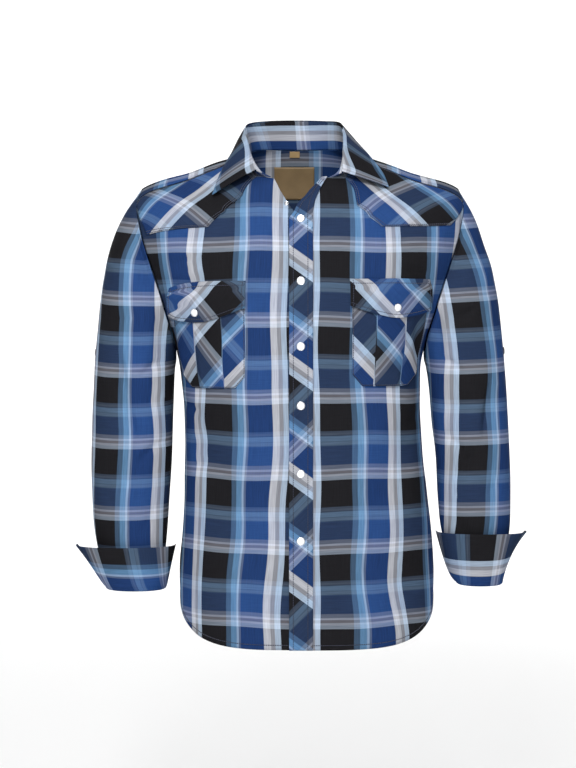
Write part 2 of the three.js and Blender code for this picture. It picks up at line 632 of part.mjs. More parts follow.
// Back yoke: from its pointed lower edge over the shoulders to the seams of the fronts
function backYoke() {
  const sideEdge = (side) => (share) => {
    const at = armhole(THREE.MathUtils.lerp(-BACK_TOP_TURN, SEAM_FORWARD, share), side);
    const turn = side > 0 ? at.angle : 2 * Math.PI + at.angle;
    const behind = THREE.MathUtils.clamp(Math.sin(BACK_TOP_TURN - share * 1.9), 0, 1);
    const toBack = side * BACK_YOKE_PULL * behind;
    return { angle: turn + toBack, ring: at.ring + 0.05 * share };
  };
  const left = sideEdge(1);
  const right = sideEdge(-1);
  const neckAngle = Math.PI / 2 - NECK_SEAM_ANGLE + 0.02;
  const edges = {
    left,
    right,
    bottom: (share) => ({
      angle: THREE.MathUtils.lerp(left(0).angle, right(0).angle, share),
      ring: yokeLowerRing(share),
    }),
    top: (share) => {
      const near = Math.min(share, 1 - share);
      if (near < YOKE_SEAM_SHARE) {
        const along = near / YOKE_SEAM_SHARE;
        const angle = THREE.MathUtils.lerp(left(1).angle, neckAngle, along);
        return {
          angle: share < 0.5 ? angle : 2 * Math.PI - angle,
          ring: THREE.MathUtils.lerp(left(1).ring, NECK - 0.03, along),
        };
      }
      const round = (share - YOKE_SEAM_SHARE) / (1 - 2 * YOKE_SEAM_SHARE);
      return {
        angle: THREE.MathUtils.lerp(neckAngle, 2 * Math.PI - neckAngle, round),
        ring: NECK - 0.03,
      };
    },
  };
  const rows = [0, 0.075, 0.2, 0.36, 0.52, 0.68, 0.84, 1];
  return wallGeometry(steps(24, 0, 1).map((across) => rows.map((along) => {
    const at = coons(across, along, edges);
    return onBody(at.angle, at.ring, LAP + CLOTH);
  })));
}

// Sleeve as rings from the armhole down, each point run through the sections
function sleeveForm(sections, side) {
  const start = (turn) => {
    const at = armhole(turn, side);
    const lift = ARM_LIFT + UNDERARM_LIFT * THREE.MathUtils.smoothstep(-Math.cos(turn), -0.2, 0.9);
    const point = bodyForm(at.angle, at.ring);
    return point.addScaledVector(outward(bodyForm, at.angle, at.ring, 0.01), lift);
  };
  const ring = (section, turn) => {
    const across = signedPower(Math.cos(turn), 2 / SLEEVE_SQUARENESS);
    const along = signedPower(Math.sin(turn), 2 / SLEEVE_SQUARENESS);
    const half = (1 - across) / 2;
    return new THREE.Vector3(
      THREE.MathUtils.lerp(section.outerX, section.innerX, half),
      section.y - along * section.depth,
      THREE.MathUtils.lerp(section.outerZ, section.innerZ, half),
    );
  };
  return (turn, place) => {
    const last = sections.length;
    const at = THREE.MathUtils.clamp(place, 0, last);
    const index = Math.min(Math.floor(at), last - 1);
    const key = (number) => {
      const bounded = THREE.MathUtils.clamp(number, 0, last);
      return bounded === 0 ? start(turn) : ring(sections[bounded - 1], turn);
    };
    const [a, b, c, d] = [-1, 0, 1, 2].map((offset) => key(index + offset));
    const mix = (axis) => hermite(
      a[axis], b[axis], c[axis], d[axis], at - index, index === 0, index === last - 1,
    );
    return new THREE.Vector3(mix('x'), mix('y'), mix('z'));
  };
}

function onSleeve(form, name, side, turn, place, out) {
  const inside = THREE.MathUtils.clamp(place, SLOPE_STEP, CUFF_FOLD_PLACE - SLOPE_STEP);
  const normal = outward(form, turn, inside, SLOPE_STEP).multiplyScalar(side);
  const point = form(turn, place);
  const depth = foldDepth(name, point, normal) * THREE.MathUtils.smoothstep(place, 0, 0.6);
  return { point: point.addScaledVector(normal, out - depth), normal };
}

const SLEEVE_PLACES = [0, 0.35, 0.8, 1.4, 2, 2.6, 3.2, 3.7, 4.2, 4.6, 5, 5.4, 5.8, 6.2, 6.7, 7.3, 8, 8.4];

function sleeve(form, name, side) {
  const turns = Array.from({ length: ARM_STEPS }, (_, step) => armTurn(step));
  const columns = turns.map((turn) => SLEEVE_PLACES.map(
    (place) => onSleeve(form, name, side, turn, place, 0),
  ));
  return wallGeometry(columns, CLOTH, true);
}

// Turned-back cuff: an inner leg that goes on from the sleeve, a round fold, and the flared outer leg.
// It is open at the back of the arm. A spread of -1 to 1 runs from one end round the front to the other.
function cuffForm(form, top, side) {
  const centre = form(0, CUFF_FOLD_PLACE).add(form(Math.PI, CUFF_FOLD_PLACE)).multiplyScalar(0.5);
  return (spread, leg, share) => {
    const low = Math.PI / 2 + spread * CUFF_REACH_LOW;
    const base = form(low, CUFF_FOLD_PLACE);
    const away = base.clone().sub(centre).setZ(0).normalize();
    if (leg === 'inner') {
      return form(low, THREE.MathUtils.lerp(CUFF_START, CUFF_FOLD_PLACE, share));
    }
    if (leg === 'fold') {
      const swing = share * Math.PI;
      return base.addScaledVector(away, CUFF_FOLD_RADIUS * (1 - Math.cos(swing)))
        .setZ(base.z - CUFF_FOLD_RADIUS * Math.sin(swing));
    }
    const foldOut = base.addScaledVector(away, 2 * CUFF_FOLD_RADIUS);
    const high = Math.PI / 2 + spread * CUFF_REACH_HIGH;
    const free = new THREE.Vector3(
      top.x + side * top.width * signedPower(Math.cos(high), 0.9),
      top.y - top.depth * signedPower(Math.sin(high), 0.9),
      top.z,
    );
    const bend = THREE.MathUtils.lerp(top.flareOut, top.flareIn, (1 - Math.cos(high)) / 2);
    const flare = share ** bend;
    return new THREE.Vector3(
      THREE.MathUtils.lerp(foldOut.x, free.x, flare),
      THREE.MathUtils.lerp(foldOut.y, free.y, flare),
      THREE.MathUtils.lerp(foldOut.z, free.z, share),
    );
  };
}

function cuff(place, side) {
  const profile = [
    ['inner', 0], ['inner', 0.5], ['inner', 1], ['fold', 0.33], ['fold', 0.67],
    ['outer', 0], ['outer', 0.3], ['outer', 0.65], ['outer', 1],
  ];
  const grid = steps(22, -1, 1).map((spread) => profile.map(([leg, share]) => place(spread, leg, share)));
  return wallGeometry(withNormals(grid, side), CLOTH);
}

// Places with normals worked out from a grid's own points
function withNormals(grid, side) {
  return grid.map((column, i) => column.map((point, j) => {
    const before = grid[Math.max(i - 1, 0)][j];
    const after = grid[Math.min(i + 1, grid.length - 1)][j];
    const below = column[Math.max(j - 1, 0)];
    const above = column[Math.min(j + 1, column.length - 1)];
    const normal = after.clone().sub(before).cross(above.clone().sub(below)).normalize();
    return { point: point.clone(), normal: normal.multiplyScalar(side) };
  }));
}

// Smooth curve of named columns from the wearer's right front end round the back to the left one
function collarCurve(right, left) {
  const rows = [...right.slice().reverse(), ...left.slice(1)];
  return (share) => sampleRows(rows, share * (rows.length - 1));
}

const rollCurve = collarCurve(COLLAR_ROLL_RIGHT, COLLAR_ROLL_LEFT);

function rollPoint(share) {
  const at = rollCurve(share);
  return new THREE.Vector3(at.x, at.y, at.z);
}

// Inner band of the collar, from the neck seam up to the roll line
function collarStand() {
  const roundNeck = (share) => {
    const angle = Math.PI - THREE.MathUtils.lerp(-STAND_END, STAND_END, share);
    return bodyForm(angle, NECK).add(new THREE.Vector3(0, 0, STAND_LIFT));
  };
  const grid = steps(26, 0, 1).map((share) => steps(3, 0, 1).map((up) => {
    const low = roundNeck(share);
    const high = rollPoint(share).add(new THREE.Vector3(0, 0, -STAND_TOP_DROP));
    const point = low.lerp(high, up);
    const inward = new THREE.Vector3(point.x, point.y + 10, 0).normalize();
    return point.addScaledVector(inward, -STAND_HOLLOW * Math.sin(Math.PI * up));
  }));
  return wallGeometry(withNormals(grid, 1), CLOTH);
}

// Falling leaf of the collar, from the roll line down to its free edge above the yokes
function collarLeaf() {
  const onEdge = (table, side) => table.map((row) => {
    const { point } = onBody(side * (Math.PI - row.angle), row.ring, row.above + LAP + CLOTH);
    return { x: point.x, y: point.y, z: point.z, bow: row.bow };
  });
  const edgeCurve = collarCurve(onEdge(COLLAR_EDGE_RIGHT, -1), onEdge(COLLAR_EDGE_LEFT, 1));
  const grid = steps(28, 0, 1).map((share) => steps(4, 0, 1).map((down) => {
    const roll = rollPoint(share);
    const edge = edgeCurve(share);
    const point = roll.clone().lerp(new THREE.Vector3(edge.x, edge.y, edge.z), down);
    const away = new THREE.Vector3(roll.x, roll.y + 10, 30).normalize();
    const bow = edge.bow * Math.sin(Math.PI * down);
    return point.addScaledVector(away, bow + LEAF_LIFT);
  }));
  return wallGeometry(withNormals(grid, -1), CLOTH);
}

// Patch pocket with cut lower corners and a raised box pleat
function pocket(size) {
  const columns = steps(12, 0, 1);
  const rows = steps(6, 0, 1);
  return wallGeometry(columns.map((across) => rows.map((down) => {
    const outer = THREE.MathUtils.lerp(size.outer, size.bottomOuter, down ** 1.5);
    const x = THREE.MathUtils.lerp(size.inner, outer, across);
    const fromCorner = Math.min(across, 1 - across) * Math.abs(size.outer - size.inner);
    const cut = Math.max(0, size.cut - fromCorner);
    const z = THREE.MathUtils.lerp(size.top, size.bottom + cut, down);
    const at = frontAt(x, z);
    const middle = Math.sin(Math.PI * across) * Math.sin(Math.PI * down);
    const fromEdge = PLEAT_HALF - Math.abs(across - PLEAT_MIDDLE);
    const pleat = PLEAT_RISE * THREE.MathUtils.smoothstep(fromEdge, 0, PLEAT_SLOPE);
    const aside = POCKET_SIDE_RISE * THREE.MathUtils.smoothstep(across, 0.6, 1);
    return onBody(at.angle, at.ring, LAP + CLOTH + POCKET_RISE * Math.max(0, middle) + pleat + aside);
  })));
}

// Pointed flap, sewn on above its pocket and lying over it
function flap(table) {
  const overPocket = POCKET_RISE + PLEAT_RISE + CLOTH + LAP;
  return wallGeometry(steps(12, 0, 1).map((across) => steps(4, 0, 1).map((down) => {
    const row = sampleRows(table, across * (table.length - 1));
    const at = frontAt(row.x, THREE.MathUtils.lerp(row.top, row.bottom, down));
    const lift = LAP + CLOTH + overPocket * THREE.MathUtils.smoothstep(down, 0, FLAP_RISE);
    return onBody(at.angle, at.ring, lift);
  })));
}

// Small rectangle on the inside of the back yoke
function insideLabel(size, columns, rows) {
  return wallGeometry(steps(columns, size.left, size.right).map((x) => steps(rows, size.bottom, size.top)
    .map((z) => {
      const at = backAt(x, z);
      return onBody(at.angle, at.ring, LAP - SEAM_GAP - LABEL_DROP);
    })), LABEL_THICKNESS);
}

// Domed cap with a flat back, turned to a direction
function cap(place, out, direction, radius, height) {
  const profile = [
    new THREE.Vector2(0, 0),
    new THREE.Vector2(radius * 0.92, 0),
    new THREE.Vector2(radius, height * 0.3),
    new THREE.Vector2(radius * 0.86, height * 0.75),
    new THREE.Vector2(radius * 0.5, height * 0.95),
    new THREE.Vector2(0, height),
  ];
  const lathe = new THREE.LatheGeometry(profile, 12);
  const turn = new THREE.Quaternion().setFromUnitVectors(new THREE.Vector3(0, 1, 0), direction);
  const move = place.clone().addScaledVector(direction, out);
  lathe.applyMatrix4(new THREE.Matrix4().compose(move, turn, new THREE.Vector3(1, 1, 1)));
  return lathe;
}

const rightSleeve = sleeveForm(SLEEVE_RIGHT, -1);
const leftSleeve = sleeveForm(SLEEVE_LEFT, 1);
const rightCuff = cuffForm(rightSleeve, CUFF_RIGHT, -1);
const leftCuff = cuffForm(leftSleeve, CUFF_LEFT, 1);

addPiece('front_right', frontPanel(-1), FABRIC_COLOURS.front);
addPiece('front_left', frontPanel(1), FABRIC_COLOURS.front);
addPiece('back', backPanel(), FABRIC_COLOURS.back);
addPiece('back_yoke', backYoke(), FABRIC_COLOURS.yoke);
addPiece('front_yoke_right', frontYoke(-1, YOKE_RIGHT), FABRIC_COLOURS.yoke);
addPiece('front_yoke_left', frontYoke(1, YOKE_LEFT), FABRIC_COLOURS.yoke);
addPiece('placket', placket(), FABRIC_COLOURS.trim);
addPiece('under_placket', underPlacket(), FABRIC_COLOURS.trim);
addPiece('collar_stand', collarStand(), FABRIC_COLOURS.trim);
addPiece('collar_leaf', collarLeaf(), FABRIC_COLOURS.trim);
addPiece('sleeve_right', sleeve(rightSleeve, 'right sleeve', -1), FABRIC_COLOURS.sleeve);
addPiece('sleeve_left', sleeve(leftSleeve, 'left sleeve', 1), FABRIC_COLOURS.sleeve);
addPiece('cuff_right', cuff(rightCuff, -1), FABRIC_COLOURS.yoke);
addPiece('cuff_left', cuff(leftCuff, 1), FABRIC_COLOURS.yoke);
addPiece('pocket_right', pocket(POCKET_RIGHT), FABRIC_COLOURS.trim);
addPiece('pocket_left', pocket(POCKET_LEFT), FABRIC_COLOURS.trim);
addPiece('flap_right', flap(FLAP_RIGHT), FABRIC_COLOURS.trim);
addPiece('flap_left', flap(FLAP_LEFT), FABRIC_COLOURS.trim);
addPiece('neck_label', insideLabel(LABEL, 6, 4), '#8b7048', 0.6);
addPiece('size_tab', insideLabel(SIZE_TAB, 2, 2), '#b08a55', 0.7);

const onPlacket = LAP + CLOTH + SNAP_LIFT;
FRONT_SNAPS.forEach((z, index) => {
  const at = frontAt(SNAP_X, z);
  const place = onBody(at.angle, at.ring, 0);
  addPiece(
    `snap_front_${index + 1}`,
    cap(place.point, onPlacket, place.normal, SNAP_RADIUS, SNAP_HEIGHT), '#f1f2f5', 0.25,
  );
});

const onFlap = LAP * 2 + CLOTH * 2 + POCKET_RISE + PLEAT_RISE + SNAP_LIFT;
for (const [name, spot] of Object.entries(POCKET_SNAPS)) {
  const at = frontAt(spot.x, spot.z);
  const place = onBody(at.angle, at.ring, 0);
  addPiece(name, cap(place.point, onFlap, place.normal, SNAP_RADIUS, SNAP_HEIGHT), '#f1f2f5', 0.25);
}

// Button of the roll-up tab on the outer side of each sleeve
for (const [name, form, label, side] of [
  ['tab_button_right', rightSleeve, 'right sleeve', -1],
  ['tab_button_left', leftSleeve, 'left sleeve', 1],
]) {
  const place = onSleeve(form, label, side, TAB_TURN, TAB_PLACE, 0);
  addPiece(name, cap(place.point, SEAM_GAP, place.normal, BUTTON_RADIUS, BUTTON_HEIGHT), '#17181b', 0.4);
}

// Snap at one end of each cuff's free edge
for (const [name, place, side, spread] of [
  ['snap_cuff_right', rightCuff, -1, 0.96],
  ['snap_cuff_left', leftCuff, 1, 0.86],
]) {
  const at = place(spread, 'outer', CUFF_SNAP_SHARE);
  const round = place(spread + 0.02, 'outer', CUFF_SNAP_SHARE).sub(at);
  const up = place(spread, 'outer', CUFF_SNAP_SHARE + 0.02).sub(at);
  const normal = round.cross(up).normalize().multiplyScalar(side);
  addPiece(name, cap(at, SNAP_LIFT, normal, CUFF_SNAP_RADIUS, SNAP_HEIGHT), '#c9ccd1', 0.3, 0.8);
}

// Stud on the under front's edge, in the open neck
const studAt = frontAt(NECK_STUD.x, NECK_STUD.z);
const stud = onBody(studAt.angle, studAt.ring, STUD_LIFT - FRONT_TUCK);
addPiece('snap_neck', cap(stud.point, SEAM_GAP, stud.normal, STUD_RADIUS, SNAP_HEIGHT), '#dfe2e6', 0.3, 0.5);

export default shirt;
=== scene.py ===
"""Western snap shirt in a blue, black and white check, filled out as it is when worn.

Every piece of cloth is a thin shell on the form of its solid. The forms repeat the sizes of the part in
millimetres, and the finished meshes are in metres. A pattern follows the cloth through its own UV map, which
holds millimetres of cloth: u across the warp stripes, v along them.
"""
import logging
import math
from dataclasses import dataclass, field, replace
from enum import Enum
from typing import Callable

import bmesh
import bpy
import numpy as np
from mathutils import Matrix, Vector


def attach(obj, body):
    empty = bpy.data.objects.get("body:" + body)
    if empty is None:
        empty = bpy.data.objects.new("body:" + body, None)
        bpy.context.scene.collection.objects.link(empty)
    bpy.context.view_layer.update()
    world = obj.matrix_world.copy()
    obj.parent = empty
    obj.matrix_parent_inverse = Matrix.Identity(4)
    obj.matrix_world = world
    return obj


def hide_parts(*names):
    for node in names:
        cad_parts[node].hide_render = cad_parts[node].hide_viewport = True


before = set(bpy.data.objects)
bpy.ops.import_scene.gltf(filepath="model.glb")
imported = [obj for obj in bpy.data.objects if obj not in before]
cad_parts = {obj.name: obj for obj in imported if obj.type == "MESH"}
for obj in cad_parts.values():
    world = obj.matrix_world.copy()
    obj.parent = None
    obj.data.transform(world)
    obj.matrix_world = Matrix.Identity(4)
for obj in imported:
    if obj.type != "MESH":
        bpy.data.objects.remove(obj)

logging.basicConfig(level=logging.INFO, format="%(message)s")
LOG = logging.getLogger("shirt")

MM = 0.001
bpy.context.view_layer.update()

Numbers = float | np.ndarray
Surface = Callable[[np.ndarray, np.ndarray], np.ndarray]


class Part(Enum):
    """The tube of cloth that a crease lies on."""

    BODY = "body"
    SLEEVE_RIGHT = "right sleeve"
    SLEEVE_LEFT = "left sleeve"


class Face(Enum):
    """The side of the shirt that a crease lies on."""

    FRONT = -1
    BACK = 1


class Side(Enum):
    """The wearer's side, as the sign of X."""

    RIGHT = -1
    LEFT = 1


class Edge(Enum):
    """An edge of a piece, by its two shares."""

    START = 0
    END = 1
    BOTTOM = 2
    TOP = 3


# Body, as in the part: ring by ring from the hem to the neck seam
@dataclass(frozen=True)
class BodyRing:
    """Heights of a ring at the front, side and back, and its middle, half width and depths."""

    front: float
    side: float
    back: float
    middle: float
    width: float
    ahead: float
    behind: float


BODY_RINGS = (
    BodyRing(-711, -645, -711, 10, 189, 130, 122),
    BodyRing(-640, -597, -640, 10, 190, 129, 121),
    BodyRing(-548, -537, -548, 10, 185, 128, 120),
    BodyRing(-440, -440, -440, 6, 178, 128, 118),
    BodyRing(-345, -350, -345, 2, 177, 133, 119),
    BodyRing(-265, -287, -265, 0, 184, 136, 122),
    BodyRing(-200, -226, -195, 0, 212, 134, 124),
    BodyRing(-148, -160, -130, 0, 237, 128, 124),
    BodyRing(-108, -95, -78, 0, 249, 117, 116),
    BodyRing(-82, -43, -38, 0, 238, 106, 104),
    BodyRing(-62, -17, -10, 0, 164, 97, 92),
    BodyRing(-45, 0, 10, 0, 116, 93, 82),
    BodyRing(-31, 10, 24, 0, 76, 92, 76),
)


@dataclass(frozen=True)
class SleeveSection:
    """A slanting ring of a sleeve: its outer and inner point, middle and half depth."""

    outer_x: float
    outer_z: float
    inner_x: float
    inner_z: float
    y: float
    depth: float


SLEEVE_RIGHT = (
    SleeveSection(-262, -78, -185.5, -297, -1, 62),
    SleeveSection(-280, -117, -187, -307, -3, 65),
    SleeveSection(-293, -170, -188, -322, -6, 65),
    SleeveSection(-301, -240, -188.5, -347, -9, 63),
    SleeveSection(-307, -325, -189.5, -390, -13, 60),
    SleeveSection(-310.5, -417, -191, -445, -17, 55),
    SleeveSection(-309, -507, -195, -513, -20, 49),
    SleeveSection(-302, -572, -199.5, -572, -21, 42),
    SleeveSection(-282, -632, -206, -632, -21, 35),
)
SLEEVE_LEFT = (
    SleeveSection(260, -82, 186, -297, -1, 62),
    SleeveSection(274, -121, 188.5, -307, -3, 65),
    SleeveSection(289, -170, 191, -322, -6, 65),
    SleeveSection(299, -240, 193.5, -347, -9, 63),
    SleeveSection(306, -320, 197, -390, -13, 60),
    SleeveSection(311, -410, 202, -440, -17, 55),
    SleeveSection(313, -497, 205.5, -505, -20, 49),
    SleeveSection(310, -560, 213, -560, -21, 42),
    SleeveSection(294, -625, 239, -625, -21, 32),
)

# Sizes that the pieces share with their solids
SQUARENESS = 2.4
SLEEVE_SQUARENESS = 2.2
NECK = 12.0
ARM_TOP = 9.0
ARM_BOTTOM = 5.0
ARM_MIDDLE = (ARM_TOP + ARM_BOTTOM) / 2
ARM_HALF = (ARM_TOP - ARM_BOTTOM) / 2
ARM_FRONT = 0.4
ARM_BACK = 0.44
SEAM_FORWARD = math.pi / 6
NECK_SEAM_ANGLE = 0.1
BACK_TOP_TURN = math.radians(75)
SEAM_GAP = 0.3
ARM_GAP = 0.006
SIDE_GAP = 0.001
YOKE_GAP = 0.03
ARM_LIFT = 0.9
ARM_LIFT_BELOW = 1.3
CLOTH = 1.6
LAP = 0.7
FRONT_TUCK = 2.9
SLEEVE_END = 8.4
FOLD_PLACE = 9.0

UNDER_EDGE = ((0, 13), (8.1, 13), (8.75, -3), (9.6, -17), (10.8, -30), (12, -39))
PLACKET_EDGE = (
    (0, -16.4), (8.6, -16.4), (9, -9.5), (9.65, -3.5), (10.2, 6.5), (10.7, 13), (11.3, 22), (12, 30),
)
PLACKET_SEAM = ((0, 17.9), (9, 17.9), (9.9, 21.5), (10.7, 27.5), (11.3, 32), (12, 38))


def smoothstep(value: np.ndarray, low: float, high: float) -> np.ndarray:
    """Returns 0 below low and 1 above high, with a smooth rise between them."""
    share = np.clip((np.asarray(value, float) - low) / (high - low), 0, 1)
    return share * share * (3 - 2 * share)


def signed_power(value: np.ndarray, power: float) -> np.ndarray:
    """Returns the value's size to a power, with its own sign."""
    return np.sign(value) * np.abs(value) ** power


def lerp(low: Numbers, high: Numbers, share: Numbers) -> Numbers:
    """Returns the place between low and high at a share of the way."""
    return low + (high - low) * share


def bump(value: np.ndarray, middle: float, reach: float) -> np.ndarray:
    """Returns 1 at a middle value, with a smooth fall on both sides."""
    return np.exp(-(((value - middle) / reach) ** 2))


def unit(vectors: np.ndarray) -> np.ndarray:
    """Returns vectors at length 1."""
    length = np.linalg.norm(vectors, axis=-1, keepdims=True)
    return vectors / np.maximum(length, 1e-9)


def look_up(table: tuple[tuple[float, float], ...], at: np.ndarray) -> np.ndarray:
    """Returns a table's second column by linear steps through its first."""
    columns = np.array(table, float)
    return np.interp(at, columns[:, 0], columns[:, 1])


def smooth_rows(rows: np.ndarray, place: np.ndarray) -> np.ndarray:
    """Runs a smooth curve through the rows of a table.

    Args:
        rows: the table, with its rows along the first axis. A second axis the size of place is followed.
        place: where to read it, counted in rows.

    Returns:
        The value at each place, with one-sided slopes at the table's ends.
    """
    last = len(rows) - 1
    at = np.clip(place, 0, last)
    index = np.minimum(np.floor(at).astype(int), last - 1)
    keys = [np.clip(index + offset, 0, last) for offset in (-1, 0, 1, 2)]
    if rows.ndim == 3:
        own = np.arange(len(at))
        p0, p1, p2, p3 = (rows[key, own] for key in keys)
    else:
        p0, p1, p2, p3 = (rows[key] for key in keys)
    share = (at - index)[:, None]
    first = (index == 0)[:, None]
    final = (index == last - 1)[:, None]
    slope1 = np.where(first, p2 - p1, (p2 - p0) / 2)
    slope2 = np.where(final, p2 - p1, (p3 - p1) / 2)
    t2 = share * share
    t3 = t2 * share
    ends = (2 * t3 - 3 * t2 + 1) * p1 + (3 * t2 - 2 * t3) * p2
    return ends + (t3 - 2 * t2 + share) * slope1 + (t3 - t2) * slope2


def outward(form: Surface, first: np.ndarray, second: np.ndarray, step: float) -> np.ndarray:
    """Finds which way a form faces.

    Args:
        form: the form, over two shares or angles.
        first: places along the first.
        second: places along the second.
        step: how far apart its slopes are read.

    Returns:
        The outward directions.
    """
    right = form(first + step, second) - form(first - step, second)
    up = form(first, second + step) - form(first, second - step)
    return unit(np.cross(right, up))


RING_TABLE = np.array([[r.front, r.side, r.back, r.middle, r.width, r.ahead, r.behind] for r in BODY_RINGS])


def body_form(angle: np.ndarray, ring: np.ndarray) -> np.ndarray:
    """Finds points of the body.

    Args:
        angle: 0 at the centre front, a quarter turn at the wearer's left side.
        ring: the place up the rings.

    Returns:
        The points in millimetres.
    """
    front, side, back, middle, width, ahead, behind = smooth_rows(RING_TABLE, ring).T
    across = signed_power(np.sin(angle), 2 / SQUARENESS)
    along = signed_power(np.cos(angle), 2 / SQUARENESS)
    lean = np.abs(np.cos(angle))
    share = 1.5 * lean - 0.5 * lean**3
    facing = np.cos(angle) > 0
    height = np.where(facing, front, back)
    depth = np.where(facing, ahead, behind)
    return np.stack([middle + width * across, -along * depth, side + (height - side) * share], -1)


def angle_at(x: np.ndarray, ring: np.ndarray) -> np.ndarray:
    """Returns the angle of a ring where the front has a given x."""
    table = smooth_rows(RING_TABLE, ring)
    share = np.clip((x - table[:, 3]) / table[:, 4], -1, 1)
    return np.arcsin(signed_power(share, SQUARENESS / 2))


def ring_at(x: np.ndarray, z: np.ndarray, face: Face) -> tuple[np.ndarray, np.ndarray]:
    """Finds a place of the body that is seen from the front or the back.

    Args:
        x: its distance from the middle.
        z: its height.
        face: the side of the shirt.

    Returns:
        Its angle and ring.
    """
    x = np.asarray(x, float)
    z = np.asarray(z, float)
    low = np.zeros_like(x)
    high = np.full_like(x, NECK)
    front = face is Face.FRONT
    for _ in range(34):
        ring = (low + high) / 2
        angle = angle_at(x, ring)
        angle = angle if front else math.pi - angle
        width = smooth_rows(RING_TABLE, ring)[:, 4]
        beyond = front & (np.abs(x) > width) & (ring > 8)
        below = ~beyond & (body_form(angle, ring)[:, 2] < z)
        low = np.where(below, ring, low)
        high = np.where(below, high, ring)
    angle = angle_at(x, low)
    return (angle if front else math.pi - angle), low


def armhole(turn: np.ndarray, side: Side) -> tuple[np.ndarray, np.ndarray]:
    """Finds places of the armhole seam.

    Args:
        turn: 0 at the shoulder tip, positive down the front.
        side: the wearer's side.

    Returns:
        Their angles and rings.
    """
    turn = np.asarray(turn, float)
    reach = np.where(np.sin(turn) > 0, ARM_FRONT, ARM_BACK)
    angle = side.value * (math.pi / 2 - reach * np.sin(turn))
    return angle, ARM_MIDDLE + ARM_HALF * np.cos(turn)


# Creases
@dataclass(frozen=True)
class Crease:
    """A trough, or a ridge where its depth is negative, along a line seen from the front."""

    part: Part
    face: Face
    x0: float
    z0: float
    x1: float
    z1: float
    width: float
    depth: float
    bow: float = 0.0

    def depth_at(self, points: np.ndarray, normals: np.ndarray) -> np.ndarray:
        """Returns how deep the crease is at points of a form.

        Args:
            points: the form's points.
            normals: its outward directions.

        Returns:
            The depth at each point, 0 on the other face.
        """
        facing = normals[:, 1] * self.face.value
        run = np.array([self.x1 - self.x0, self.z1 - self.z0])
        length = float(np.hypot(*run))
        away = points[:, [0, 2]] - np.array([self.x0, self.z0])
        along = away @ run / length
        share = np.abs(along / length - 0.5) * 2
        taper = 1 - np.minimum(1, share) ** 2
        aside = (away[:, 0] * run[1] - away[:, 1] * run[0]) / length - self.bow * taper
        return self.depth * taper * bump(aside, 0, self.width) * np.clip(facing * 2, 0, 1)


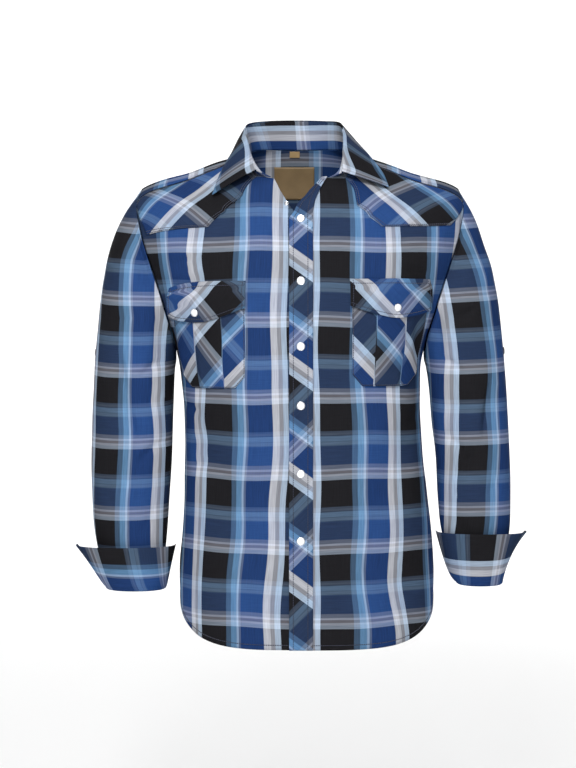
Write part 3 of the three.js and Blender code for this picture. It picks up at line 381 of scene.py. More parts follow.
# From, to, width, depth and bow of each crease: the large folds first, as in the part
CREASE_ROWS = {
    (Part.BODY, Face.FRONT): (
        (-152, -395, -96, -520, 24, 4), (158, -380, 112, -540, 24, 4.5), (-62, -520, -78, -690, 24, 3),
        (76, -560, 62, -700, 24, 3), (-120, -560, -140, -690, 24, -3), (140, -600, 150, -690, 24, 3.5),
        (-190, -158, -134, -128, 5, 3.4, 4), (-188, -176, -136, -160, 6, -2.6, 3),
        (-192, -196, -140, -184, 5, 3.2, 4), (-182, -222, -150, -206, 5, 2.2, 3),
        (190, -140, 140, -122, 5, 3.2, -4), (192, -176, 150, -160, 5, 3.0, -3),
        (-178, -352, -140, -374, 5, 3.2, 3), (-176, -398, -140, -402, 8, -1.6, 4),
        (-172, -450, -130, -432, 7, 1.6, 5), (170, -232, 176, -316, 6, 3.6, 3),
        (150, -396, 176, -370, 6, 1.8, 3), (78, -540, 106, -538, 3, 0.8, 1),
        (136, -578, 146, -600, 3, 1.2, 1), (-42, -624, -34, -606, 3, 0.9, 1),
        (128, -640, 150, -655, 4, 1.0, 2), (-120, -620, -92, -640, 9, 1.2, 5),
        (-60, -250, -26, -330, 14, 1.3, 5), (40, -310, 62, -420, 14, 1.2, -5),
        (-52, -440, -30, -540, 12, 1.3, 4), (30, -120, 70, -175, 12, 1.4, 3),
        (-40, -130, -90, -160, 13, 1.3, -3), (60, -470, 128, -500, 12, 1.4, 6),
        (-100, -430, -166, -470, 10, 1.6, 6), (100, -625, 40, -660, 12, 1.1, 5),
    ),
    (Part.BODY, Face.BACK): (
        (-92, -190, -70, -480, 28, 4.5), (88, -210, 74, -520, 30, 5), (4, -400, -10, -690, 26, 3.5),
        (-168, -330, -96, -420, 22, 4), (166, -320, 98, -400, 22, 4), (-60, -200, -20, -300, 10, 1.6, 5),
        (40, -240, 62, -360, 11, 1.5, -5), (-150, -240, -110, -300, 9, 2.0, 4),
        (152, -236, 118, -296, 9, 2.0, -4), (-140, -470, -60, -500, 12, 1.5, 6),
        (130, -480, 50, -520, 12, 1.6, 5), (-120, -580, -150, -650, 12, 1.4, 4),
        (110, -600, 140, -660, 10, 1.5, 4), (30, -560, 60, -610, 6, 1.2, 3),
        (-30, -610, -66, -650, 7, 1.1, 3),
    ),
    (Part.SLEEVE_RIGHT, Face.FRONT): (
        (-250, -92, -212, -190, 14, 6), (-272, -282, -244, -417, 15, 5), (-200, -350, -246, -372, 14, 4),
        (-264, -284, -253, -350, 4.2, 4.4, 1), (-253, -350, -241, -414, 4.0, 5.0, -1),
        (-238, -112, -204, -176, 5, 4.6, 4), (-226, -100, -200, -140, 6, -2.2, 3),
        (-206, -208, -214, -330, 8, 4.2, -4), (-298, -150, -268, -196, 9, 1.8, 5),
        (-198, -296, -236, -322, 5, 3.4, 3), (-196, -412, -238, -452, 6, 3.2, 4),
        (-290, -470, -262, -520, 8, 1.6, 4), (-212, -500, -240, -556, 8, 1.7, -4),
    ),
    (Part.SLEEVE_RIGHT, Face.BACK): (
        (-206, -250, -262, -350, 18, 5), (-200, -400, -270, -430, 16, 4),
        (-290, -200, -240, -260, 9, 2.4, 4), (-210, -330, -256, -372, 6, 2.4, 4),
        (-290, -430, -226, -470, 8, 2.2, 5), (-280, -520, -236, -560, 7, 1.8, 3),
        (-216, -180, -236, -240, 6, 2.2, 3), (-250, -110, -222, -160, 8, 2.4, 4),
    ),
    (Part.SLEEVE_LEFT, Face.FRONT): (
        (240, -90, 206, -180, 14, 6), (284, -330, 271, -422, 15, 5), (208, -372, 256, -352, 14, 4),
        (279, -318, 266, -414, 4.2, 5.0, -2), (226, -486, 233, -500, 2.6, 1.6, 1),
        (236, -104, 204, -160, 5, 4.6, -4), (222, -98, 200, -134, 6, -2.2, -3),
        (204, -200, 214, -320, 8, 4.2, 4), (296, -156, 268, -206, 9, 1.8, -5),
        (206, -292, 240, -318, 5, 3.6, -3), (210, -400, 246, -450, 6, 3.4, -4),
        (214, -236, 262, -216, 5, 3.0, 4), (226, -470, 252, -410, 5, 3.0, 3),
        (296, -462, 262, -500, 8, 1.7, -4), (222, -520, 250, -552, 7, 1.5, 3),
    ),
    (Part.SLEEVE_LEFT, Face.BACK): (
        (210, -262, 268, -340, 18, 5), (206, -430, 282, -404, 16, 4), (286, -196, 236, -252, 9, 2.4, -4),
        (212, -330, 262, -380, 6, 2.4, -4), (296, -440, 236, -478, 8, 2.2, -5),
        (284, -516, 240, -548, 7, 1.8, -3), (214, -180, 238, -238, 6, 2.2, -3),
        (250, -108, 220, -156, 8, 2.4, -4),
    ),
}
CREASES = {
    part: [Crease(part, face, *row) for (own, face), rows in CREASE_ROWS.items() if own is part for row in rows]
    for part in Part
}

RIPPLES = 14
RIPPLE_SIZE = 0.34


@dataclass
class Ripples:
    """Slight unevenness all over the cloth, as a sum of long waves that run in seeded directions."""

    seed: int = 11
    waves: np.ndarray = field(init=False)

    def __post_init__(self) -> None:
        """Draws the waves' directions, lengths and phases."""
        draw = np.random.default_rng(self.seed)
        direction = unit(draw.normal(size=(RIPPLES, 3)) * np.array([1, 1, 0.7]))
        length = draw.uniform(34, 120, size=RIPPLES)
        phase = draw.uniform(0, 2 * math.pi, size=RIPPLES)
        self.waves = np.column_stack([direction * (2 * math.pi / length)[:, None], phase])

    def at(self, points: np.ndarray) -> np.ndarray:
        """Returns the unevenness at points, outwards, in millimetres."""
        phase = points @ self.waves[:, :3].T + self.waves[:, 3]
        return RIPPLE_SIZE * np.sin(phase).sum(axis=1) / math.sqrt(RIPPLES)


RIPPLING = Ripples()


def moved_out(part: Part, points: np.ndarray, normals: np.ndarray, out: Numbers) -> np.ndarray:
    """Lays points on the creased cloth of a part.

    Args:
        part: the tube of cloth.
        points: points of its smooth form.
        normals: the form's outward directions.
        out: how far each point lies outside the solid's outer face.

    Returns:
        The points of the creased cloth.
    """
    depth = np.zeros(len(points))
    for crease in CREASES[part]:
        depth += crease.depth_at(points, normals)
    return points + normals * (out - depth + RIPPLING.at(points))[:, None]


def on_body(angle: np.ndarray, ring: np.ndarray, out: Numbers) -> np.ndarray:
    """Returns points of the body's creased cloth, some way out from the solid's face."""
    points = body_form(angle, ring)
    return moved_out(Part.BODY, points, outward(body_form, angle, ring, 0.01), out)


@dataclass(frozen=True)
class SleeveForm:
    """The tube of a sleeve, from the armhole down to the cuff's fold."""

    side: Side
    part: Part
    sections: tuple[SleeveSection, ...]

    def points(self, turn: np.ndarray, place: np.ndarray) -> np.ndarray:
        """Returns points of the sleeve at turns round it and places down its sections."""
        angle, ring = armhole(turn, self.side)
        lift = ARM_LIFT + ARM_LIFT_BELOW * smoothstep(-np.cos(turn), -0.2, 0.9)
        start = body_form(angle, ring) + outward(body_form, angle, ring, 0.01) * lift[:, None]
        across = signed_power(np.cos(turn), 2 / SLEEVE_SQUARENESS)
        along = signed_power(np.sin(turn), 2 / SLEEVE_SQUARENESS)
        half = (1 - across) / 2
        keys = [start]
        for s in self.sections:
            x = lerp(s.outer_x, s.inner_x, half)
            keys.append(np.stack([x, s.y - along * s.depth, lerp(s.outer_z, s.inner_z, half)], -1))
        return smooth_rows(np.stack(keys), place)

    def normals(self, turn: np.ndarray, place: np.ndarray) -> np.ndarray:
        """Returns the outward directions at places of the sleeve."""
        inside = np.clip(place, 0.03, len(self.sections) - 0.03)
        return outward(self.points, turn, inside, 0.03) * self.side.value

    def cloth(self, turn: np.ndarray, place: np.ndarray, out: float) -> np.ndarray:
        """Returns points of the sleeve's creased cloth, whose creases fade at the armhole."""
        points = self.points(turn, place)
        normals = self.normals(turn, place)
        creased = moved_out(self.part, points, normals, out)
        plain = points + normals * out
        return lerp(plain, creased, smoothstep(place, 0, 0.6)[:, None])


RIGHT_ARM = SleeveForm(Side.RIGHT, Part.SLEEVE_RIGHT, SLEEVE_RIGHT)
LEFT_ARM = SleeveForm(Side.LEFT, Part.SLEEVE_LEFT, SLEEVE_LEFT)


# Cloth pattern
@dataclass(frozen=True)
class Stripe:
    """A stripe of yarn: its width in parts of the repeat, and its linear colour."""

    width: float
    colour: tuple[float, float, float]


WARP = (
    Stripe(29.5, (0.0105, 0.0102, 0.0125)), Stripe(5, (0.058, 0.11, 0.19)), Stripe(5.5, (0.12, 0.26, 0.45)),
    Stripe(2, (0.307, 0.427, 0.62)), Stripe(2, (0.107, 0.153, 0.27)), Stripe(21.5, (0.0125, 0.049, 0.185)),
    Stripe(6.5, (0.57, 0.585, 0.64)), Stripe(4, (0.31, 0.32, 0.36)), Stripe(5.5, (0.433, 0.537, 0.676)),
)
WARP_REPEAT = 120.0
WEFT = (
    Stripe(27, (0.0105, 0.0105, 0.0115)), Stripe(2, (0.0625, 0.09, 0.14)), Stripe(2, (0.087, 0.117, 0.17)),
    Stripe(1, (0.046, 0.073, 0.13)), Stripe(5, (0.13, 0.22, 0.35)), Stripe(1, (0.094, 0.158, 0.262)),
    Stripe(3, (0.126, 0.2, 0.31)), Stripe(1, (0.046, 0.094, 0.2)), Stripe(18.5, (0.026, 0.06, 0.155)),
    Stripe(4, (0.163, 0.194, 0.277)), Stripe(2, (0.41, 0.45, 0.555)), Stripe(3, (0.21, 0.21, 0.245)),
    Stripe(2, (0.43, 0.465, 0.545)), Stripe(4, (0.32, 0.38, 0.465)),
)
WEFT_REPEAT = 109.5
UV_SCALE = 100.0


@dataclass(frozen=True)
class Lay:
    """How a piece was laid on the cloth when it was cut.

    The warp axis u runs at warp degrees from the piece's own horizontal, and the weft axis v at weft degrees
    from its vertical. The shifts place the repeat, and stretch is how far a bias strip was pulled.
    """

    warp: float = 0.0
    weft: float = 0.0
    shift_u: float = 0.0
    shift_v: float = 0.0
    stretch: float = 1.0

    def cloth(self, flat: np.ndarray) -> np.ndarray:
        """Turns the piece's own flat places into places of the cloth, in millimetres."""
        a, b = math.radians(self.warp), math.radians(self.weft)
        u = (flat[:, 0] * math.cos(a) + flat[:, 1] * math.sin(a)) / self.stretch + self.shift_u
        v = -flat[:, 0] * math.sin(b) + flat[:, 1] * math.cos(b) + self.shift_v
        return np.stack([u, v], -1)


# Node groups and finishes
def node(tree: bpy.types.NodeTree, kind: str, **settings: object) -> bpy.types.Node:
    """Adds a node.

    Args:
        tree: the tree that it goes into.
        kind: its Blender type.
        **settings: attributes to set, or values of inputs by their name with underscores.

    Returns:
        The new node.
    """
    made = tree.nodes.new(kind)
    for name, value in settings.items():
        if hasattr(made, name):
            setattr(made, name, value)
        else:
            made.inputs[name.replace("_", " ")].default_value = value
    return made


def socket(tree: bpy.types.NodeTree, name: str, kind: str, out: bool = False, value: object = None) -> None:
    """Adds a socket to a group, with a default value for an input."""
    made = tree.interface.new_socket(name, in_out="OUTPUT" if out else "INPUT", socket_type=kind)
    if value is not None:
        made.default_value = value


def maths(tree: bpy.types.NodeTree, operation: str, first: object,
          second: object = 0.0) -> bpy.types.NodeSocket:
    """Adds a Math node between sockets or numbers and returns its result."""
    made = tree.nodes.new("ShaderNodeMath")
    made.operation = operation
    for index, value in enumerate((first, second)):
        if isinstance(value, bpy.types.NodeSocket):
            tree.links.new(value, made.inputs[index])
        else:
            made.inputs[index].default_value = value
    return made.outputs[0]


def stripe_ramp(tree: bpy.types.NodeTree, stripes: tuple[Stripe, ...], soft: float) -> bpy.types.Node:
    """Adds a colour ramp that holds a repeat of stripes with slightly soft borders.

    Args:
        tree: the tree that it goes into.
        stripes: the stripes in order.
        soft: the border's width as a share of the repeat.

    Returns:
        The ramp's node.
    """
    ramp = tree.nodes.new("ShaderNodeValToRGB")
    total = sum(stripe.width for stripe in stripes)
    elements = ramp.color_ramp.elements
    elements[1].position = 1.0
    start = 0.0
    places = []
    for stripe in stripes:
        end = start + stripe.width / total
        places.append((start + soft / 2, stripe.colour))
        places.append((end - soft / 2, stripe.colour))
        start = end
    elements[0].position, elements[0].color = places[0][0], (*places[0][1], 1)
    elements[1].position, elements[1].color = places[-1][0], (*places[-1][1], 1)
    for position, colour in places[1:-1]:
        elements.new(position).color = (*colour, 1)
    return ramp


def woven_check() -> bpy.types.NodeTree:
    """Builds the group that weaves the warp's and the weft's stripes into the check.

    Returns:
        The group: Cloth in millimetres in, Colour and Thread height out.
    """
    tree = bpy.data.node_groups.new("woven_check", "ShaderNodeTree")
    socket(tree, "Cloth", "NodeSocketVector")
    socket(tree, "Warp share", "NodeSocketFloat", value=0.6)
    socket(tree, "Slub", "NodeSocketFloat", value=0.2)
    socket(tree, "Colour", "NodeSocketColor", out=True)
    socket(tree, "Height", "NodeSocketFloat", out=True)
    link = tree.links.new
    given = node(tree, "NodeGroupInput")
    result = node(tree, "NodeGroupOutput")
    apart = node(tree, "ShaderNodeSeparateXYZ")
    link(given.outputs["Cloth"], apart.inputs[0])
    warp_place = maths(tree, "FRACT", maths(tree, "DIVIDE", apart.outputs[0], WARP_REPEAT))
    down = maths(tree, "MULTIPLY", apart.outputs[1], -1.0)
    weft_place = maths(tree, "FRACT", maths(tree, "DIVIDE", down, WEFT_REPEAT))
    warp = stripe_ramp(tree, WARP, 0.005)
    weft = stripe_ramp(tree, WEFT, 0.004)
    link(warp_place, warp.inputs[0])
    link(weft_place, weft.inputs[0])

    def streaks(size: tuple[float, float, float]) -> bpy.types.NodeSocket:
        """Returns noise drawn out along one set of yarns."""
        mapping = node(tree, "ShaderNodeMapping", Scale=size)
        noise = node(tree, "ShaderNodeTexNoise", Scale=1.0, Detail=2.0, Roughness=0.6)
        link(given.outputs["Cloth"], mapping.inputs[0])
        link(mapping.outputs[0], noise.inputs["Vector"])
        return noise.outputs["Fac"]

    def slubbed(colour: bpy.types.NodeSocket, noise: bpy.types.NodeSocket) -> bpy.types.NodeSocket:
        """Returns a yarn's colour, lighter and darker along its streaks."""
        swing = maths(tree, "MULTIPLY", maths(tree, "SUBTRACT", noise, 0.5), given.outputs["Slub"])
        scale = node(tree, "ShaderNodeVectorMath", operation="SCALE")
        link(colour, scale.inputs[0])
        link(maths(tree, "ADD", maths(tree, "MULTIPLY", swing, 2.0), 1.0), scale.inputs["Scale"])
        return scale.outputs[0]

    warp_streaks = streaks((0.7, 0.03, 1.0))
    weft_streaks = streaks((0.03, 0.7, 1.0))
    mix = node(tree, "ShaderNodeMix", data_type="RGBA")
    link(maths(tree, "SUBTRACT", 1.0, given.outputs["Warp share"]), mix.inputs["Factor"])
    link(slubbed(warp.outputs[0], warp_streaks), mix.inputs["A"])
    link(slubbed(weft.outputs[0], weft_streaks), mix.inputs["B"])
    link(mix.outputs["Result"], result.inputs["Colour"])
    pitch = 2 * math.pi / 0.9
    over = maths(tree, "SINE", maths(tree, "MULTIPLY", apart.outputs[0], pitch))
    under = maths(tree, "SINE", maths(tree, "MULTIPLY", apart.outputs[1], pitch))
    yarn = maths(tree, "MULTIPLY", maths(tree, "MULTIPLY", over, under), 0.35)
    streak = maths(tree, "ADD", warp_streaks, weft_streaks)
    link(maths(tree, "ADD", maths(tree, "MULTIPLY", streak, 0.5), yarn), result.inputs["Height"])
    return tree


def handled_cloth() -> bpy.types.NodeTree:
    """Builds the group that makes cloth uneven where it has been worn and pressed.

    Returns:
        The group: Colour in, Colour, Roughness and Height out, with slight patches.
    """
    tree = bpy.data.node_groups.new("handled_cloth", "ShaderNodeTree")
    socket(tree, "Colour", "NodeSocketColor")
    socket(tree, "Roughness", "NodeSocketFloat", value=0.8)
    socket(tree, "Patch size", "NodeSocketFloat", value=16.0)
    socket(tree, "Fade", "NodeSocketFloat", value=0.12)
    socket(tree, "Colour", "NodeSocketColor", out=True)
    socket(tree, "Roughness", "NodeSocketFloat", out=True)
    socket(tree, "Height", "NodeSocketFloat", out=True)
    link = tree.links.new
    given = node(tree, "NodeGroupInput")
    result = node(tree, "NodeGroupOutput")
    place = node(tree, "ShaderNodeTexCoord")
    patches = node(tree, "ShaderNodeTexNoise", Detail=4.0, Roughness=0.55)
    link(place.outputs["Object"], patches.inputs["Vector"])
    link(given.outputs["Patch size"], patches.inputs["Scale"])
    swing = maths(tree, "SUBTRACT", patches.outputs["Fac"], 0.5)
    scale = node(tree, "ShaderNodeVectorMath", operation="SCALE")
    link(given.outputs["Colour"], scale.inputs[0])
    link(maths(tree, "ADD", maths(tree, "MULTIPLY", swing, given.outputs["Fade"]), 1.0), scale.inputs["Scale"])
    link(scale.outputs[0], result.inputs["Colour"])
    rougher = maths(tree, "ADD", maths(tree, "MULTIPLY", swing, 0.2), given.outputs["Roughness"])
    link(rougher, result.inputs["Roughness"])
    link(patches.outputs["Fac"], result.inputs["Height"])
    return tree


WOVEN_CHECK = woven_check()
HANDLED = handled_cloth()


def new_material(name: str) -> tuple[bpy.types.Material, bpy.types.Node]:
    """Returns an empty node material and its Principled shader."""
    material = bpy.data.materials.new(name)
    material.use_nodes = True
    return material, material.node_tree.nodes["Principled BSDF"]


@dataclass(frozen=True)
class CheckFinish:
    """Woven cotton check for the slot of one group of pieces."""

    name: str
    roughness: float = 0.82
    sheen: float = 0.0
    slub: float = 0.4
    warp_share: float = 0.6

    def material(self) -> bpy.types.Material:
        """Builds the material: check, patches, then yarn and patches in the bump."""
        material, shader = new_material(self.name)
        tree = material.node_tree
        link = tree.links.new
        uv = node(tree, "ShaderNodeUVMap", uv_map="cloth")
        mapping = node(tree, "ShaderNodeMapping", Scale=(UV_SCALE, UV_SCALE, 1))
        link(uv.outputs[0], mapping.inputs[0])
        check = node(tree, "ShaderNodeGroup", node_tree=WOVEN_CHECK)
        check.inputs["Warp share"].default_value = self.warp_share
        check.inputs["Slub"].default_value = self.slub
        link(mapping.outputs[0], check.inputs["Cloth"])
        worn = node(tree, "ShaderNodeGroup", node_tree=HANDLED)
        worn.inputs["Roughness"].default_value = self.roughness
        link(check.outputs["Colour"], worn.inputs["Colour"])
        bump = node(tree, "ShaderNodeBump", Strength=0.25, Distance=0.0003)
        soft = node(tree, "ShaderNodeBump", Strength=0.3, Distance=0.002)
        link(check.outputs["Height"], bump.inputs["Height"])
        link(worn.outputs["Height"], soft.inputs["Height"])
        link(soft.outputs[0], bump.inputs["Normal"])
        link(worn.outputs["Colour"], shader.inputs["Base Color"])
        link(worn.outputs["Roughness"], shader.inputs["Roughness"])
        link(bump.outputs[0], shader.inputs["Normal"])
        shader.inputs["Specular IOR Level"].default_value = 0.05
        shader.inputs["Sheen Weight"].default_value = self.sheen
        shader.inputs["Sheen Roughness"].default_value = 0.5
        return material


@dataclass(frozen=True)
class PlainFinish:
    """Thread, tape, leather-like label, pearl, horn or metal in one colour with slight patches."""

    name: str
    colour: tuple[float, float, float]
    roughness: float
    metallic: float = 0.0
    coat: float = 0.0
    specular: float = 0.5
    sheen: float = 0.0
    grain: float = 900.0
    grain_height: float = 0.0001
    fade: float = 0.25
    swirl: tuple[float, float, float] | None = None

    def material(self) -> bpy.types.Material:
        """Builds the material from fine grain, patches and, on pearl, a second tint."""
        material, shader = new_material(self.name)
        tree = material.node_tree
        link = tree.links.new
        place = node(tree, "ShaderNodeTexCoord")
        grain = node(tree, "ShaderNodeTexNoise", Scale=self.grain, Detail=3.0)
        link(place.outputs["Object"], grain.inputs["Vector"])
        worn = node(tree, "ShaderNodeGroup", node_tree=HANDLED)
        worn.inputs["Roughness"].default_value = self.roughness
        worn.inputs["Patch size"].default_value = 60.0
        worn.inputs["Fade"].default_value = self.fade
        worn.inputs["Colour"].default_value = (*self.colour, 1)
        if self.swirl is not None:
            wave = node(tree, "ShaderNodeTexWave", Scale=110.0, Distortion=9.0, Detail=2.0)
            link(place.outputs["Object"], wave.inputs["Vector"])
            tint = node(tree, "ShaderNodeMix", data_type="RGBA")
            tint.inputs["A"].default_value = (*self.colour, 1)
            tint.inputs["B"].default_value = (*self.swirl, 1)
            link(wave.outputs["Fac"], tint.inputs["Factor"])
            link(tint.outputs["Result"], worn.inputs["Colour"])
        bump = node(tree, "ShaderNodeBump", Strength=0.5, Distance=self.grain_height)
        link(grain.outputs["Fac"], bump.inputs["Height"])
        link(worn.outputs["Colour"], shader.inputs["Base Color"])
        link(worn.outputs["Roughness"], shader.inputs["Roughness"])
        link(bump.outputs[0], shader.inputs["Normal"])
        shader.inputs["Metallic"].default_value = self.metallic
        shader.inputs["Coat Weight"].default_value = self.coat
        shader.inputs["Specular IOR Level"].default_value = self.specular
        shader.inputs["Sheen Weight"].default_value = self.sheen
        return material


FINISHES: dict[str, CheckFinish | PlainFinish] = {
    "plaid_front": CheckFinish("plaid_front"),
    "plaid_back": CheckFinish("plaid_back"),
    "plaid_yoke": CheckFinish("plaid_yoke"),
    "plaid_bias": CheckFinish("plaid_bias"),
    "plaid_collar": CheckFinish("plaid_collar"),
    "plaid_sleeve": CheckFinish("plaid_sleeve"),
    "plaid_cuff": CheckFinish("plaid_cuff"),
    "thread": PlainFinish("navy_thread", (0.012, 0.016, 0.04), 0.7, sheen=0.2),
    "tan_label": PlainFinish("tan_label", (0.2, 0.135, 0.065), 0.6, grain_height=0.0004, fade=0.4),
    "tan_tape": PlainFinish("tan_tape", (0.33, 0.22, 0.1), 0.8, sheen=0.1, grain=1800.0),
    "pearl_snap": PlainFinish("pearl_snap", (0.93, 0.93, 0.94), 0.16, coat=0.6, fade=0.05, grain=300.0,
                              swirl=(0.84, 0.87, 0.93)),
    "snap_metal": PlainFinish("snap_metal", (0.62, 0.63, 0.65), 0.26, metallic=1.0, fade=0.2),
    "dark_button": PlainFinish("dark_button", (0.012, 0.012, 0.014), 0.3, coat=0.3),
}
MADE: dict[str, bpy.types.Material] = {}


def finish(name: str) -> bpy.types.Material:
    """Returns the material of a finish, built once."""
    if name not in MADE:
        MADE[name] = FINISHES[name].material()
    return MADE[name]


# Meshes
def new_object(name: str, bm: bmesh.types.BMesh, finishes: tuple[str, ...]) -> bpy.types.Object:
    """Makes a mesh object at the origin from a bmesh and frees it.

    Args:
        name: the piece's name.
        bm: its mesh, in metres.
        finishes: the finishes of its material slots.

    Returns:
        The object, shaded smooth.
    """
    mesh = bpy.data.meshes.new(name)
    bm.to_mesh(mesh)
    bm.free()
    mesh.polygons.foreach_set("use_smooth", [True] * len(mesh.polygons))
    for key in finishes:
        mesh.materials.append(finish(key))
    made = bpy.data.objects.new(name, mesh)
    bpy.context.scene.collection.objects.link(made)
    return made


def place_piece(piece: bpy.types.Object, slot: str, *nodes: str) -> bpy.types.Object:
    """Rides a piece on the shirt and hides the nodes that it stands for."""
    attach(piece, "root")
    if nodes:
        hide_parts(*nodes)
    return piece


class Held(Enum):
    """How a piece of cloth is held."""

    HUNG = "hung"
    FOLDED = "folded"
    STRETCHED = "stretched"


@dataclass(frozen=True)
class Cut:
    """A piece of cloth: its node and slot, its lay, its mesh steps, and what it is sewn to."""

    node: str
    slot: str
    lay: Lay
    steps: tuple[int, int]
    rests_on: tuple[str, ...]
    held: Held = Held.HUNG
    thickness: float = 1.2
    closed: bool = False


Laid = Callable[[np.ndarray, np.ndarray, float], np.ndarray]
Flat = Callable[[np.ndarray, np.ndarray], np.ndarray]


def read_grid(grid: np.ndarray, a: np.ndarray, b: np.ndarray) -> np.ndarray:
    """Reads a grid of values over two shares, with even blends between its places."""
    x = np.clip(a, 0, 1) * (grid.shape[0] - 1)
    y = np.clip(b, 0, 1) * (grid.shape[1] - 1)
    i = np.minimum(x.astype(int), grid.shape[0] - 2)
    j = np.minimum(y.astype(int), grid.shape[1] - 2)
    s, t = (x - i)[:, None], (y - j)[:, None]
    low = lerp(grid[i, j], grid[i + 1, j], s)
    high = lerp(grid[i, j + 1], grid[i + 1, j + 1], s)
    return lerp(low, high, t)


def grid_of(surface: Laid, columns: int, rows: int) -> np.ndarray:
    """Returns a surface's points on an even grid of shares."""
    a, b = np.meshgrid(np.linspace(0, 1, columns), np.linspace(0, 1, rows), indexing="ij")
    return surface(a.ravel(), b.ravel(), 0.0).reshape(columns, rows, 3)


def unrolled(surface: Laid, columns: int = 41, rows: int = 41) -> Flat:
    """Unrolls a surface that nowhere faces sideways, with X as its horizontal.

    Args:
        surface: the surface.
        columns: how many places are read across.
        rows: how many are read along.

    Returns:
        A function that gives flat places at shares. At the middle of the lower edge they are x and z.
    """
    points = grid_of(surface, columns, rows)
    across = np.gradient(points, axis=0)
    along = np.gradient(points, axis=1)
    normals = unit(np.cross(across, along))
    sideways = np.array([1.0, 0, 0]) - normals * normals[:, :, :1]
    sideways = unit(sideways)
    upward = np.cross(normals, sideways)
    middle = columns // 2
    if upward[middle, 0, 2] < 0:
        upward = -upward
    flat = np.zeros((columns, rows, 2))
    flat[middle, 0] = points[middle, 0, [0, 2]]

    def step(i: int, j: int, from_i: int, from_j: int) -> None:
        """Carries the flat place on from a neighbour."""
        gone = points[i, j] - points[from_i, from_j]
        side = unit(sideways[i, j] + sideways[from_i, from_j])
        rise = unit(upward[i, j] + upward[from_i, from_j])
        flat[i, j] = flat[from_i, from_j] + [gone @ side, gone @ rise]

    for j in range(1, rows):
        step(middle, j, middle, j - 1)
    for j in range(rows):
        for i in range(middle + 1, columns):
            step(i, j, i - 1, j)
        for i in range(middle - 1, -1, -1):
            step(i, j, i + 1, j)
    return lambda a, b: read_grid(flat, a, b)


def strip(surface: Laid, level: float, sign: float = 1.0, columns: int = 121, rows: int = 61) -> Flat:
    """Unrolls a strip that goes round the neck or an arm.

    Args:
        surface: the surface, whose first share goes along the strip.
        level: the second share of the line that both lengths are counted from.
        sign: -1 where the second share falls as the flat height grows.
        columns: how many places are read along the strip.
        rows: how many are read across it.

    Returns:
        A function that gives flat places: the length along from the middle, and the height above the line.
    """
    points = grid_of(surface, columns, rows)
    row = int(round(level * (rows - 1)))
    gone = np.linalg.norm(np.diff(points[:, row], axis=0), axis=1)
    along = np.concatenate([[0.0], np.cumsum(gone)])
    along -= along[columns // 2]
    risen = np.linalg.norm(np.diff(points, axis=1), axis=2)
    height = np.concatenate([np.zeros((columns, 1)), np.cumsum(risen, axis=1)], axis=1)
    height -= height[:, row : row + 1]
    flat = np.stack([np.repeat(along[:, None], rows, axis=1), height * sign], -1)
    return lambda a, b: read_grid(flat, a, b)


def lifted(form: Surface, a: np.ndarray, b: np.ndarray, out: float, sign: float = 1.0) -> np.ndarray:
    """Moves points of a form out along its own normals.

    Args:
        form: the form.
        a: first shares.
        b: second shares.
        out: how far.
        sign: -1 where the shares run the other way round.

    Returns:
        The points in millimetres.
    """
    step = 0.004
    inner_a = np.clip(a, step, 1 - step)
    inner_b = np.clip(b, step, 1 - step)
    return form(a, b) + outward(form, inner_a, inner_b, step) * (out * sign)


